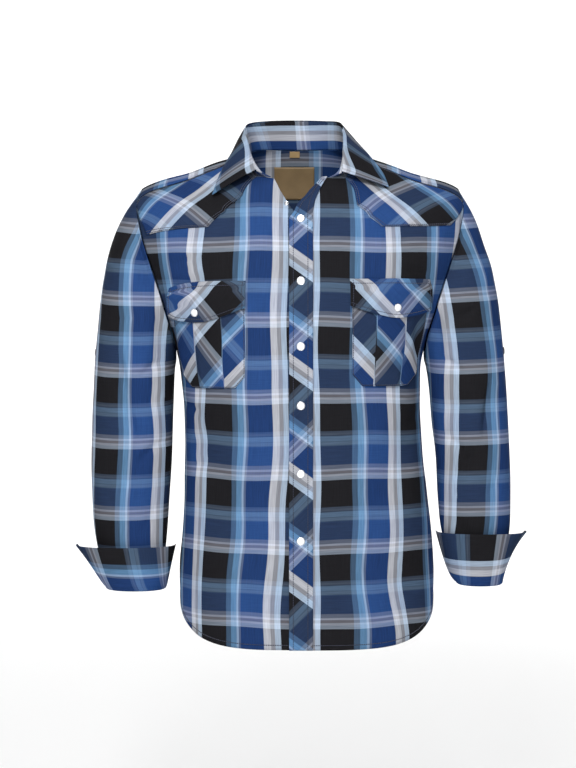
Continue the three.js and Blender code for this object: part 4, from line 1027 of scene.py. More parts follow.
class ClothPiece:
    """A piece of cloth, made from a surface over two shares and the flat places of its cut."""

    def __init__(self, cut: Cut, surface: Laid, flat: Flat) -> None:
        """Keeps the cut and the two functions of the shares.

        Args:
            cut: the piece's facts.
            surface: points in millimetres at two shares, some way out from the cloth.
            flat: the same places on the flat cut, in millimetres.
        """
        self.cut = cut
        self.surface = surface
        self.flat = flat

    def build(self) -> bpy.types.Object:
        columns, rows = self.cut.steps
        bm = bmesh.new()
        bmesh.ops.create_grid(bm, x_segments=columns, y_segments=rows, size=1)
        bm.verts.ensure_lookup_table()
        shares = np.array([v.co.xy for v in bm.verts]) * 0.5 + 0.5
        a, b = shares[:, 0], shares[:, 1]
        points = self.surface(a, b, 0.0)
        outer = self.surface(a, b, 1.0) - points
        flat = self.flat(a, b)
        cloth = self.cut.lay.cloth(flat) / UV_SCALE
        for vert, point in zip(bm.verts, (points * MM).tolist()):
            vert.co = point
        layer = bm.loops.layers.uv.new("cloth")
        pairs = cloth.tolist()
        for face in bm.faces:
            for loop in face.loops:
                loop[layer].uv = pairs[loop.vert.index]
        bm.normal_update()
        facing = sum(vert.normal.dot(Vector(outer[vert.index])) for vert in bm.verts)
        if facing < 0:
            bmesh.ops.reverse_faces(bm, faces=bm.faces[:])
        area = sum(face.calc_area() for face in bm.faces)
        if self.cut.closed:
            seam = [v for v in bm.verts if min(a[v.index], 1 - a[v.index]) < 1e-6]
            bmesh.ops.remove_doubles(bm, verts=seam, dist=0.00005)
        piece = new_object(self.cut.node + "_cloth", bm, (self.cut.slot,))
        wall = piece.modifiers.new("wall", "SOLIDIFY")
        wall.thickness = self.cut.thickness * MM
        wall.offset = -1.0
        place_piece(piece, self.cut.slot, self.cut.node)
        self.declare(flat)
        return piece

    def declare(self, flat: np.ndarray) -> None:
        width, length = (flat.max(axis=0) - flat.min(axis=0)) * MM
        width, length = max(width, 0.0101), max(length, 0.0101)

    def inset(self, edge: Edge, inset: float, start: float = 0.0, end: float = 1.0, count: int = 200) -> "Seam":
        """Follows an edge at a distance inside it.

        Args:
            edge: which edge.
            inset: the distance from it in millimetres.
            start: the share along the edge where the line starts.
            end: the share where it ends.
            count: how many places.

        Returns:
            The line and the directions out of the cloth along it.
        """
        along = np.linspace(start, end, count)
        low = edge in (Edge.START, Edge.BOTTOM)
        base = np.zeros(count) if low else np.ones(count)
        step = 0.01 if low else -0.01
        across = edge in (Edge.START, Edge.END)

        def at(share: np.ndarray, out: float = 0.0) -> np.ndarray:
            """Returns points at a share from the edge."""
            return self.surface(share, along, out) if across else self.surface(along, share, out)

        slope = np.linalg.norm(at(base + step) - at(base), axis=1) / abs(step)
        share = base + np.sign(step) * inset / np.maximum(slope, 1e-6)
        return Seam(at(share), unit(at(share, 1.0) - at(share)))


@dataclass(frozen=True)
class Seam:
    """A line on the cloth, in millimetres, with the directions out of it."""

    points: np.ndarray
    normals: np.ndarray


@dataclass
class Topstitching:
    """Rows of sewn stitches, joined into one mesh for each part of the shirt."""

    name: str
    pitch: float = 3.3
    length: float = 2.4
    width: float = 0.9
    height: float = 0.6
    seams: list[Seam] = field(default_factory=list)

    def add(self, *seams: Seam) -> None:
        """Adds seams to the mesh."""
        self.seams.extend(seams)

    def build(self) -> bpy.types.Object:
        """Lays a small block for each stitch and returns the joined piece."""
        bm = bmesh.new()
        for seam in self.seams:
            gone = np.linalg.norm(np.diff(seam.points, axis=0), axis=1)
            reach = np.concatenate([[0.0], np.cumsum(gone)])
            for start in np.arange(self.pitch * 0.4, reach[-1] - self.length, self.pitch):
                ends = [self.at(seam, reach, s) for s in (start, start + self.length)]
                self.stitch(bm, *ends[0], *ends[1])
        piece = new_object(self.name, bm, ("thread",))
        LOG.info("%s: %d faces", self.name, len(piece.data.polygons))
        return place_piece(piece, "plaid_bias")

    @staticmethod
    def at(seam: Seam, reach: np.ndarray, length: float) -> tuple[np.ndarray, np.ndarray]:
        """Returns the point and the outward direction at a length along a seam."""
        point = np.array([np.interp(length, reach, seam.points[:, k]) for k in range(3)])
        normal = np.array([np.interp(length, reach, seam.normals[:, k]) for k in range(3)])
        return point, unit(normal)

    def stitch(self, bm: bmesh.types.BMesh, start: np.ndarray, n0: np.ndarray,
               end: np.ndarray, n1: np.ndarray) -> None:
        """Adds one stitch between two places of a seam, bedded in the cloth."""
        normal = Vector(unit(n0 + n1))
        run = Vector(end - start)
        side = normal.cross(run).normalized()
        middle = (Vector(start) + Vector(end)) / 2 + normal * self.height * 0.15
        columns = (run, side * self.width, normal * self.height)
        turn = Matrix([[column[k] for column in columns] for k in range(3)]).to_4x4()
        bmesh.ops.create_cube(bm, size=1, matrix=Matrix.Scale(MM, 4) @ Matrix.Translation(middle) @ turn)


# Even steps across the body, by the length of a middle ring
EVEN_COUNT = 1441
EVEN_ANGLES = np.linspace(-math.pi, math.pi, EVEN_COUNT)
EVEN_GONE = np.linalg.norm(np.diff(body_form(EVEN_ANGLES, np.full(EVEN_COUNT, 3.0))[:, :2], axis=0), axis=1)
EVEN_LENGTHS = np.concatenate([[0.0], np.cumsum(EVEN_GONE)])


def even_angle(start: np.ndarray, end: np.ndarray, share: np.ndarray) -> np.ndarray:
    """Steps evenly along the cloth between two angles, which may pass the centre back.

    Args:
        start: the first angle.
        end: the last angle.
        share: how far along.

    Returns:
        The angles.
    """
    turn = EVEN_LENGTHS[-1]

    def length(angle: np.ndarray) -> np.ndarray:
        """Returns the length along the ring up to an angle."""
        wrapped = np.where(angle > math.pi, angle - 2 * math.pi, angle)
        return np.interp(wrapped, EVEN_ANGLES, EVEN_LENGTHS) + np.where(angle > math.pi, turn, 0)

    target = lerp(length(start), length(end), share)
    over = target > turn
    angle = np.interp(np.where(over, target - turn, target), EVEN_LENGTHS, EVEN_ANGLES)
    return angle + np.where(over, 2 * math.pi, 0)


def side_angle(ring: np.ndarray, face: Face) -> np.ndarray:
    """Follows a panel's side edge: the side seam, the armhole, then the shoulder seam.

    Args:
        ring: places up the rings.
        face: front or back panel.

    Returns:
        The edge's angles on the wearer's left.
    """
    turn = np.arccos(np.clip((ring - ARM_MIDDLE) / ARM_HALF, -1, 1))
    if face is Face.BACK:
        return math.pi / 2 + np.where(ring > ARM_BOTTOM, ARM_BACK * np.sin(turn) + ARM_GAP, SIDE_GAP)
    seam_ring = ARM_MIDDLE + ARM_HALF * math.cos(SEAM_FORWARD)
    at_arm = math.pi / 2 - ARM_FRONT * np.sin(turn) - ARM_GAP
    at_tip = math.pi / 2 - ARM_FRONT * math.sin(SEAM_FORWARD) - ARM_GAP
    along = np.clip((ring - seam_ring) / (NECK - seam_ring), 0, 1)
    on_shoulder = lerp(at_tip, math.pi / 2 - NECK_SEAM_ANGLE, along)
    side = np.where(ring > seam_ring, on_shoulder, at_arm)
    return np.where(ring > ARM_BOTTOM, side, math.pi / 2 - SIDE_GAP)


ARC_FROM = 140.0
ARC_STEPS = 40


def body_flat(angle: np.ndarray, ring: np.ndarray) -> np.ndarray:
    """Unrolls the body's cloth with the warp upright.

    Args:
        angle: angles round the body.
        ring: rings up it.

    Returns:
        The flat places in millimetres: along the cloth from the centre, and the height.
    """
    back = np.cos(angle) < 0
    toward = np.where(back, math.pi, 0.0)
    from_centre = np.where(back, np.mod(angle, 2 * math.pi) - math.pi, angle)
    arc = np.zeros(len(angle))
    fixed_ring = np.full(len(angle), 3.0)
    last, last_fixed = body_form(toward, ring), body_form(toward, fixed_ring)
    for step in range(1, ARC_STEPS + 1):
        at = toward + from_centre * step / ARC_STEPS
        own, fixed = body_form(at, ring), body_form(at, fixed_ring)
        gone, gone_fixed = np.hypot(*(own - last)[:, :2].T), np.hypot(*(fixed - last_fixed)[:, :2].T)
        scale = np.abs(own[:, 0] - last[:, 0]) / np.maximum(np.abs(fixed[:, 0] - last_fixed[:, 0]), 1e-6)
        arc += np.where(np.abs(own[:, 0]) < ARC_FROM, gone_fixed * scale, gone)
        last, last_fixed = own, fixed
    sign = np.where(back, -np.sign(from_centre), np.sign(from_centre))
    centre = smooth_rows(RING_TABLE, ring)[:, 3]
    return np.stack([sign * arc + centre * 0.4, body_form(angle, ring)[:, 2]], -1)


@dataclass(frozen=True)
class Ruck:
    """Short waves in the stripes round a place of the body."""

    size: float
    x: float
    x_reach: float
    z: float
    z_reach: float
    length: float
    start: float

    def at(self, x: np.ndarray, z: np.ndarray) -> np.ndarray:
        """Returns the sideways shift of the stripes."""
        waves = np.sin((z - self.z + self.start) / self.length)
        return self.size * bump(x, self.x, self.x_reach) * bump(z, self.z, self.z_reach) * waves


RUCKS = (Ruck(3.6, -165, 40, -160, 42, 17, 8), Ruck(3.4, -160, 36, -398, 44, 15, -6))


def front_drift(x: np.ndarray, z: np.ndarray) -> np.ndarray:
    """Shifts the fronts' stripes as they hang, by the placket and further out.

    Args:
        x: flat places from the centre, in millimetres.
        z: their heights.

    Returns:
        How far the stripes lie towards the wearer's left.
    """
    by_placket = bump(np.abs(x), 30, 65)
    right = lerp(9 - 11 * smoothstep(-z, 200, 420), 12 - 10 * smoothstep(-z, 370, 520), by_placket)
    outer = 3.5 * bump(z, -400, 70) - 7 * bump(z, -600, 55) - 5 * smoothstep(z, -300, -180)
    left = lerp(outer, -5 - 6 * bump(z, -540, 90), by_placket)
    return right * smoothstep(-x, 0, 20) + left * smoothstep(x, 0, 20)


def warp_drift(flat: np.ndarray) -> np.ndarray:
    """Shifts the cloth where it is rucked, so that its stripes waver as they hang.

    Args:
        flat: the flat places, in millimetres.

    Returns:
        The same places with the drift.
    """
    x, z = flat[:, 0], flat[:, 1]
    drift = sum(ruck.at(x, z) for ruck in RUCKS) - front_drift(x, z)
    drift += 8.0 * bump(x, -110, 110) * smoothstep(-z, 520, 680)
    drift -= 9.0 * bump(x, 150, 60) * smoothstep(-z, 600, 690)
    drift += 1.6 * np.sin(z / 61 + x / 90) + 0.8 * np.sin(z / 23 + x / 31)
    sag = 1.2 * np.sin(x / 47 + z / 130) + 0.6 * np.sin(x / 19 - z / 70) - 7.0 * smoothstep(-z, 450, 700)
    return np.stack([x + drift, z + sag], -1)


LAYER = 1.7
ROW_SHIFT = 139.4
BIAS_RIGHT = Lay(warp=-45, weft=135, shift_u=65.1, shift_v=14.8)
FRONT_LAYS = {
    Side.RIGHT: Lay(shift_u=150.0, shift_v=ROW_SHIFT),
    Side.LEFT: Lay(shift_u=-31.5, shift_v=ROW_SHIFT),
}
YOKE_LAYS = {Side.RIGHT: replace(BIAS_RIGHT, shift_v=-44.5), Side.LEFT: Lay(warp=45, weft=225, shift_u=52.5)}
COLLAR_LAY = Lay(warp=90, weft=-90, shift_u=82.0, shift_v=4.1)


def yoke_lower_ring(share: np.ndarray) -> np.ndarray:
    """Returns the ring of the back yoke's pointed lower edge, by the share of the way across."""
    out = np.abs(share - 0.5) * 2
    fall = np.where(out < 0.55, lerp(6.55, 7.15, out / 0.55), lerp(7.15, 7.28, (out - 0.55) / 0.45))
    return lerp(fall, 7.52, out**12)


Place = Callable[[np.ndarray], tuple[np.ndarray, np.ndarray]]


def polyline(places: list[tuple[float, float]]) -> Place:
    """Returns a function that goes through angle and ring places by straight stretches."""
    columns = np.array(places, float)
    count = np.arange(len(columns))

    def at(share: np.ndarray) -> tuple[np.ndarray, np.ndarray]:
        """Returns angle and ring at a share of the way."""
        way = share * (len(columns) - 1)
        return np.interp(way, count, columns[:, 0]), np.interp(way, count, columns[:, 1])

    return at


def coons(a: np.ndarray, b: np.ndarray, bottom: Place, top: Place,
          start: Place, end: Place) -> list[np.ndarray]:
    """Blends a four-sided patch from its edges.

    Args:
        a: shares across.
        b: shares along.
        bottom: the edge where b is 0, by a.
        top: the edge where b is 1.
        start: the edge where a is 0, by b.
        end: the edge where a is 1.

    Returns:
        Angle and ring at each place.
    """
    zero, one = np.zeros_like(a), np.ones_like(a)
    edges = zip(bottom(a), top(a), start(b), end(b), bottom(zero), bottom(one), top(zero), top(one))
    return [
        (1 - b) * low + b * high + (1 - a) * left + a * right
        - (1 - a) * (1 - b) * c00 - a * (1 - b) * c10 - (1 - a) * b * c01 - a * b * c11
        for low, high, left, right, c00, c10, c01, c11 in edges
    ]


@dataclass
class BodyPanels:
    """Fronts, back, yokes and the front edges' strips."""

    yoke_right: tuple[tuple[float, float], ...] = (
        (-62, -27), (-84, -57), (-108, -82), (-133, -103.5), (-165, -105), (-196, -108), (-224, -113),
    )
    yoke_left: tuple[tuple[float, float], ...] = (
        (66, -31), (81, -72), (99, -90), (117, -103.5), (155, -102), (192, -101), (219, -99),
    )
    hem_depth: float = 8.0
    under_strip: float = 26.0

    def front(self, side: Side) -> ClothPiece:
        """Returns a front panel, up to the shoulder seam."""
        right = side is Side.RIGHT

        def place(a: np.ndarray, b: np.ndarray) -> tuple[np.ndarray, np.ndarray]:
            """Returns angle and ring at the shares."""
            ring = NECK * b
            edge_x = look_up(UNDER_EDGE, ring) if right else look_up(PLACKET_EDGE, ring) + 4
            return even_angle(angle_at(edge_x, ring), side.value * side_angle(ring, Face.FRONT), a), ring

        def surface(a: np.ndarray, b: np.ndarray, out: float) -> np.ndarray:
            """Returns points of the panel."""
            angle, ring = place(a, b)
            x = body_form(angle, ring)[:, 0]
            tuck = FRONT_TUCK * smoothstep(x, -62, -24) if right else 0.0
            hem = 0.5 * (1 - smoothstep(b * 900, self.hem_depth, self.hem_depth + 4))
            return on_body(angle, ring, out + hem - tuck)

        name = "front_right" if right else "front_left"
        cut = Cut(name, "plaid_front", FRONT_LAYS[side], (60, 176), ("front_yoke" + name[5:], "back"))
        return ClothPiece(cut, surface, lambda a, b: warp_drift(body_flat(*place(a, b))))

    def back(self) -> ClothPiece:
        """Returns the back panel, whose top lies behind the yoke's lower edge."""

        def place(a: np.ndarray, b: np.ndarray) -> tuple[np.ndarray, np.ndarray]:
            """Returns angle and ring at the shares."""
            ring = np.minimum(7.52, yoke_lower_ring(a) + 0.26) * b
            start = side_angle(ring, Face.BACK)
            return even_angle(start, 2 * math.pi - start, a), ring

        def surface(a: np.ndarray, b: np.ndarray, out: float) -> np.ndarray:
            """Returns points of the panel."""
            hem = 0.5 * (1 - smoothstep(b * 560, self.hem_depth, self.hem_depth + 4))
            return on_body(*place(a, b), out + hem)

        cut = Cut("back", "plaid_back", Lay(shift_u=24.0, shift_v=ROW_SHIFT), (120, 130), ("back_yoke",))
        return ClothPiece(cut, surface, lambda a, b: warp_drift(body_flat(*place(a, b))))

    def front_yoke(self, side: Side) -> ClothPiece:
        """Returns a pointed front yoke, cut on the bias and laid on the front."""
        right = side is Side.RIGHT
        corners = np.array(self.yoke_right if right else self.yoke_left, float)
        angles, rings = ring_at(corners[:, 0], corners[:, 1], Face.FRONT)
        lower = list(zip(angles, rings))
        sign = side.value
        neck_top = (sign * (math.pi / 2 - NECK_SEAM_ANGLE - 0.01), NECK - YOKE_GAP)
        tip_angle = math.pi / 2 - ARM_FRONT * math.sin(SEAM_FORWARD) - YOKE_GAP
        tip = (sign * tip_angle, ARM_MIDDLE + ARM_HALF * math.cos(SEAM_FORWARD))
        low_turn = math.acos((rings[-1] - ARM_MIDDLE) / ARM_HALF)

        def arm_angle(turn: Numbers) -> Numbers:
            """Returns the yoke's angle near the armhole."""
            return sign * (math.pi / 2 - ARM_FRONT * np.sin(turn) - YOKE_GAP)

        def arm_edge(share: np.ndarray) -> tuple[np.ndarray, np.ndarray]:
            """Returns the edge along the armhole."""
            turn = lerp(low_turn, SEAM_FORWARD, share)
            lift = angles[-1] - arm_angle(low_turn)
            return arm_angle(turn) + lift * (1 - share), ARM_MIDDLE + ARM_HALF * np.cos(turn)

        neck_edge = polyline([lower[0], (sign * 1.05, NECK - 0.04), neck_top])

        def surface(a: np.ndarray, b: np.ndarray, out: float) -> np.ndarray:
            """Returns points of the yoke."""
            angle, ring = coons(a, b, polyline(lower), polyline([neck_top, tip]), neck_edge, arm_edge)
            return on_body(angle, ring, LAYER + out)

        name = "front_yoke_right" if right else "front_yoke_left"
        cut = Cut(name, "plaid_bias", YOKE_LAYS[side], (64, 40), (name.replace("_yoke", ""),))
        return ClothPiece(cut, surface, unrolled(surface))

    def back_yoke(self) -> ClothPiece:
        """Returns the back yoke, from its pointed lower edge over the shoulders to the fronts."""
        seam_share = 0.25
        neck_angle = math.pi / 2 - NECK_SEAM_ANGLE + 0.02

        def side_edge(side: Side) -> Place:
            """Returns the edge along an armhole."""

            def at(share: np.ndarray) -> tuple[np.ndarray, np.ndarray]:
                """Returns angle and ring at a share of the way."""
                angle, ring = armhole(lerp(-BACK_TOP_TURN, SEAM_FORWARD, share), side)
                angle = angle if side is Side.LEFT else 2 * math.pi + angle
                to_back = side.value * 0.022 * np.clip(-np.sin(-BACK_TOP_TURN + share * 1.9), 0, 1)
                return angle + to_back, ring + 0.05 * share

            return at

        left, right = side_edge(Side.LEFT), side_edge(Side.RIGHT)
        zero, one = np.zeros(1), np.ones(1)

        def bottom(share: np.ndarray) -> tuple[np.ndarray, np.ndarray]:
            """Returns the pointed lower edge."""
            return lerp(left(zero)[0], right(zero)[0], share), yoke_lower_ring(share)

        def top(share: np.ndarray) -> tuple[np.ndarray, np.ndarray]:
            """Returns the shoulder seams and the neck between them."""
            near = np.minimum(share, 1 - share)
            along = near / seam_share
            tip_angle, tip_ring = (value[0] for value in left(one))
            seam_angle = lerp(tip_angle, neck_angle, along)
            seam_angle = np.where(share < 0.5, seam_angle, 2 * math.pi - seam_angle)
            round_neck = (share - seam_share) / (1 - 2 * seam_share)
            neck = lerp(neck_angle, 2 * math.pi - neck_angle, round_neck)
            on_seam = near < seam_share
            ring = np.where(on_seam, lerp(tip_ring, NECK - YOKE_GAP, np.minimum(along, 1)), NECK - YOKE_GAP)
            return np.where(on_seam, seam_angle, neck), ring

        def surface(a: np.ndarray, b: np.ndarray, out: float) -> np.ndarray:
            """Returns points of the yoke."""
            angle, ring = coons(a, b, bottom, top, left, right)
            return on_body(angle, ring, LAYER + out)

        lay = Lay(shift_u=29.2, shift_v=-8.0)
        cut = Cut("back_yoke", "plaid_yoke", lay, (120, 64), ("back", "front_right", "front_left"))
        return ClothPiece(cut, surface, unrolled(surface, 81, 61))

    def placket(self) -> ClothPiece:
        """Returns the bias strip down the left front."""

        def surface(a: np.ndarray, b: np.ndarray, out: float) -> np.ndarray:
            """Returns points of the strip."""
            ring = NECK * b
            near_neck = smoothstep(ring, 9.5, NECK)
            left = look_up(PLACKET_EDGE, ring)
            angle = angle_at(lerp(left, look_up(PLACKET_SEAM, ring), a), ring)
            return on_body(angle, ring, LAYER + 1.6 * near_neck + out)

        lay = Lay(warp=234, weft=45, shift_u=-12.0, shift_v=83.9, stretch=1.05)
        cut = Cut("placket", "plaid_bias", lay, (14, 200), ("front_left",), Held.STRETCHED)
        return ClothPiece(cut, surface, unrolled(surface, 9, 161))

    def under_placket(self) -> ClothPiece:
        """Returns the strip behind the right front's edge."""

        def surface(a: np.ndarray, b: np.ndarray, out: float) -> np.ndarray:
            """Returns points of the strip."""
            ring = NECK * b
            deeper = 0.8 * smoothstep(ring, 10, NECK)
            angle = angle_at(look_up(UNDER_EDGE, ring) - self.under_strip * (1 - a), ring)
            x = body_form(angle, ring)[:, 0]
            return on_body(angle, ring, out - FRONT_TUCK * smoothstep(x, -62, -24) - LAYER - deeper)

        lay = Lay(warp=-45, weft=135, shift_u=20.0, shift_v=14.8)
        cut = Cut("under_placket", "plaid_bias", lay, (10, 160), ("front_right",), Held.STRETCHED)
        return ClothPiece(cut, surface, unrolled(surface, 9, 121))


@dataclass
class Collar:
    """Inner band and falling leaf, which meet at the roll line.

    Each table goes from the centre back to a front end. The leaf's free edge is given on the body, as the
    angle from the centre back, the ring, the height above, and how far the leaf bows out up to there.
    """

    roll_right: tuple[tuple[float, ...], ...] = (
        (-4, 74, 70), (-48, 64, 68), (-75.5, 44, 62), (-80.8, 14, 50), (-78, -22, 32), (-72, -54, 8),
        (-63.3, -84, -19),
    )
    roll_left: tuple[tuple[float, ...], ...] = (
        (-4, 74, 70), (36, 64, 68), (57, 44, 64), (63, 16, 54), (64, -22, 33), (62, -54, 8), (59.6, -84, -22),
    )
    edge_right: tuple[tuple[float, ...], ...] = (
        (0, 11.4, 13, 5), (0.9, 11.4, 9, 4), (1.33, 11.42, 6, 2),
        (1.6, 11.36, 5, 1.5), (1.95, 10.88, 4.6, 2), (2.39, 9.86, 4.2, 1.5),
    )
    edge_left: tuple[tuple[float, ...], ...] = (
        (0, 11.4, 13, 5), (0.9, 11.4, 9, 3), (1.3, 11.44, 6, 0),
        (1.6, 11.4, 5, -1.5), (1.93, 10.78, 4.6, 0), (2.2, 10.22, 4.2, 1),
    )
    stand_end: float = 2.62

    @staticmethod
    def curve(right: np.ndarray, left: np.ndarray) -> Callable[[np.ndarray], np.ndarray]:
        """Returns a smooth curve from the right front end round the back to the left one."""
        rows = np.concatenate([right[::-1], left[1:]])
        return lambda share: smooth_rows(rows, share * (len(rows) - 1))

    def roll(self, share: np.ndarray) -> np.ndarray:
        """Returns the roll line."""
        return self.curve(np.array(self.roll_right, float), np.array(self.roll_left, float))(share)

    def stand(self) -> ClothPiece:
        """Returns the inner band, from the neck seam up to the roll line."""

        def form(a: np.ndarray, b: np.ndarray) -> np.ndarray:
            """Returns points of the band."""
            angle = math.pi - lerp(-self.stand_end, self.stand_end, a)
            low = body_form(angle, np.full(len(a), NECK)) + np.array([0, 0, SEAM_GAP + LAP])
            point = lerp(low, self.roll(a) - np.array([0, 0, 1.2]), b[:, None])
            inward = unit(point * np.array([1, 1, 0]) + np.array([0, 10, 0]))
            return point - inward * (1.2 * np.sin(math.pi * b))[:, None]

        def surface(a: np.ndarray, b: np.ndarray, out: float) -> np.ndarray:
            """Returns points of the band some way out."""
            return lifted(form, a, b, out)

        cut = Cut("collar_stand", "plaid_collar", COLLAR_LAY, (96, 18), ("back_yoke",), Held.FOLDED)
        return ClothPiece(cut, surface, strip(surface, 0.0))

    def leaf(self) -> ClothPiece:
        """Returns the falling leaf, from the roll line down to its free edge."""

        def on_edge(table: tuple[tuple[float, ...], ...], side: Side) -> np.ndarray:
            """Returns the free edge's points and bows on one side."""
            back, ring, above, bow = np.array(table, float).T
            points = on_body(side.value * (math.pi - back), ring, above + LAP + CLOTH)
            return np.concatenate([points, bow[:, None]], axis=1)

        edge_curve = self.curve(on_edge(self.edge_right, Side.RIGHT), on_edge(self.edge_left, Side.LEFT))

        def form(a: np.ndarray, b: np.ndarray) -> np.ndarray:
            """Returns points of the leaf."""
            roll, edge = self.roll(a), edge_curve(a)
            point = lerp(roll, edge[:, :3], b[:, None])
            away = unit(np.stack([roll[:, 0], roll[:, 1] + 10, np.full(len(a), 30.0)], -1))
            return point + away * (edge[:, 3] * np.sin(math.pi * b) + 1.2)[:, None]

        def surface(a: np.ndarray, b: np.ndarray, out: float) -> np.ndarray:
            """Returns points of the leaf some way out."""
            return lifted(form, a, b, out, -1.0)

        fallen = strip(surface, 0.0)
        risen = strip(self.stand().surface, 0.0)

        def flat(a: np.ndarray, b: np.ndarray) -> np.ndarray:
            """Returns flat places that go on from the band's, over the roll line."""
            height = risen(a, np.ones_like(a))[:, 1]
            return fallen(a, b) + np.stack([np.zeros_like(a), height], -1)

        cut = Cut("collar_leaf", "plaid_collar", COLLAR_LAY, (112, 30), ("collar_stand",), Held.FOLDED)
        return ClothPiece(cut, surface, flat)


@dataclass(frozen=True)
class CuffTop:
    """Free edge of a turned-back cuff: its middle, half width and depth, and how its sides bend out."""

    x: float
    z: float
    y: float
    width: float
    depth: float
    flare_in: float
    flare_out: float


@dataclass
class Arm:
    """A sleeve with its turned-back cuff, cuff snap and tab button."""

    form: SleeveForm
    cuff_top: CuffTop
    sleeve_lay: Lay
    cuff_lay: Lay
    snap_spread: float
    stripe_drift: tuple[tuple[float, float], ...] = ((0, 0), (1, 0))
    row_stretch: float = 1.026
    fold_radius: float = 3.2
    cuff_start: float = 8.406
    low_reach: float = 2.62
    high_reach: float = 1.68

    @property
    def label(self) -> str:
        """Returns right or left."""
        return self.form.side.name.lower()

    def sleeve(self) -> ClothPiece:
        """Returns the tube of the sleeve."""

        def surface(a: np.ndarray, b: np.ndarray, out: float) -> np.ndarray:
            """Returns points of the tube, whose first share starts under the arm."""
            return self.form.cloth((a - 0.5) * 2 * math.pi, SLEEVE_END * (1 - b), out)

        cut = Cut("sleeve_" + self.label, "plaid_sleeve", self.sleeve_lay, (140, 190),
                  ("front_" + self.label, "back"), closed=True)
        return ClothPiece(cut, surface, self.sleeve_flat)

    def arcs_to(self, direction: float) -> tuple[np.ndarray, np.ndarray]:
        """Measures level sections of the sleeve from the outer line to the line under the arm.

        Args:
            direction: 1 round the front of the arm, -1 round its back.

        Returns:
            The heights, and the lengths by turn and height.
        """
        places = np.linspace(0, FOLD_PLACE, 181)
        levels = np.linspace(-632.0, -40.0, 149)
        rows = []
        for turn in np.linspace(0, math.pi, 49):
            points = self.form.points(np.full(181, turn * direction), places)
            place = np.interp(-levels, -points[:, 2], places)
            rows.append(self.form.points(np.full(len(levels), turn * direction), place)[:, :2])
        gone = np.linalg.norm(np.diff(np.stack(rows), axis=0), axis=2)
        return levels, np.concatenate([np.zeros((1, len(levels))), np.cumsum(gone, axis=0)])

    def sleeve_flat(self, a: np.ndarray, b: np.ndarray) -> np.ndarray:
        """Unrolls the sleeve level by level.

        Args:
            a: shares round the sleeve, from under the arm.
            b: shares up it.

        Returns:
            The level length round from the outer line, and the height drawn out to the weft's repeat.
        """
        turn = (a - 0.5) * 2 * math.pi
        height = self.form.points(turn, SLEEVE_END * (1 - b))[:, 2]
        levels, front = self.arcs_to(1.0)
        back = self.arcs_to(-1.0)[1]
        share = (height - levels[0]) / (levels[-1] - levels[0])
        round_share = np.abs(turn) / math.pi
        ahead, behind = (read_grid(table[:, :, None], round_share, share)[:, 0] for table in (front, back))
        arc = np.where(turn > 0, ahead, behind)
        tilt = 0.1 * arc * np.cos(turn / 2) * smoothstep(height, -620, -200)
        sign = np.sign(turn) * -self.form.side.value
        flat = np.stack([sign * arc, (height + tilt) * self.row_stretch], -1)
        wave = 1.4 * np.sin(flat[:, 1] / 47 + flat[:, 0] / 80) + 0.7 * np.sin(flat[:, 1] / 21)
        wave -= look_up(self.stripe_drift, -height)
        return flat + np.stack([wave, 0.9 * np.sin(flat[:, 0] / 37)], -1)

    def cuff_form(self, spread: np.ndarray, way: np.ndarray) -> np.ndarray:
        """Returns points of the cuff.

        Args:
            spread: -1 to 1 from one end round the front to the other.
            way: 0 to 1 up the inner leg, 1 to 2 round the fold, 2 to 3 up the outer leg.

        Returns:
            The points in millimetres.
        """
        side, top = self.form.side.value, self.cuff_top
        full = np.full(len(spread), FOLD_PLACE)
        low = math.pi / 2 + spread * self.low_reach
        ends = self.form.points(np.array([0.0, math.pi]), full[:2])
        base = self.form.points(low, full)
        away = unit((base - ends.mean(axis=0)) * np.array([1, 1, 0]))
        inner = self.form.points(low, lerp(self.cuff_start, FOLD_PLACE, np.clip(way, 0, 1)))
        swing = (np.clip(way, 1, 2) - 1)[:, None] * math.pi
        fold = base + away * self.fold_radius * (1 - np.cos(swing))
        fold -= np.array([0, 0, 1]) * self.fold_radius * np.sin(swing)
        high = math.pi / 2 + spread * self.high_reach
        free = np.stack([
            top.x + side * top.width * signed_power(np.cos(high), 0.9),
            top.y - top.depth * signed_power(np.sin(high), 0.9),
            np.full(len(spread), top.z),
        ], -1)
        share = np.clip(way - 2, 0, 1)
        flare = share ** lerp(top.flare_out, top.flare_in, (1 - np.cos(high)) / 2)
        fold_out = base + away * 2 * self.fold_radius
        outer = fold_out + (free - fold_out) * np.stack([flare, flare, share], -1)
        choice = way[:, None]
        return np.where(choice < 1, inner, np.where(choice < 2, fold, outer))

    def cuff(self) -> ClothPiece:
        """Returns the cuff: inner leg, round fold and flared outer leg."""

        def form(a: np.ndarray, b: np.ndarray) -> np.ndarray:
            """Returns points with the steps shared out over the legs."""
            return self.cuff_form(2 * a - 1, np.interp(b, [0, 0.3, 0.42, 1], [0, 1, 2, 3]))

        def surface(a: np.ndarray, b: np.ndarray, out: float) -> np.ndarray:
            """Returns points of the cuff some way out."""
            return lifted(form, a, b, out, self.form.side.value)

        below = ("sleeve_" + self.label,)
        cut = Cut("cuff_" + self.label, "plaid_cuff", self.cuff_lay, (88, 56), below, Held.FOLDED)
        return ClothPiece(cut, surface, strip(surface, 1.0))

    def button_place(self) -> tuple[np.ndarray, np.ndarray]:
        """Returns point and direction of the tab button on the outer side."""
        turn, place = np.array([-0.12]), np.array([4.55])
        return self.form.cloth(turn, place, 0.0)[0], self.form.normals(turn, place)[0]

    def snap_place(self) -> tuple[np.ndarray, np.ndarray]:
        """Returns point and direction of the snap at one end of the cuff's free edge."""
        spread = self.snap_spread + np.array([0, 0.02, 0])
        at, beside, above = self.cuff_form(spread, 2 + np.array([0.84, 0.84, 0.86]))
        return at, unit(np.cross(beside - at, above - at)) * self.form.side.value


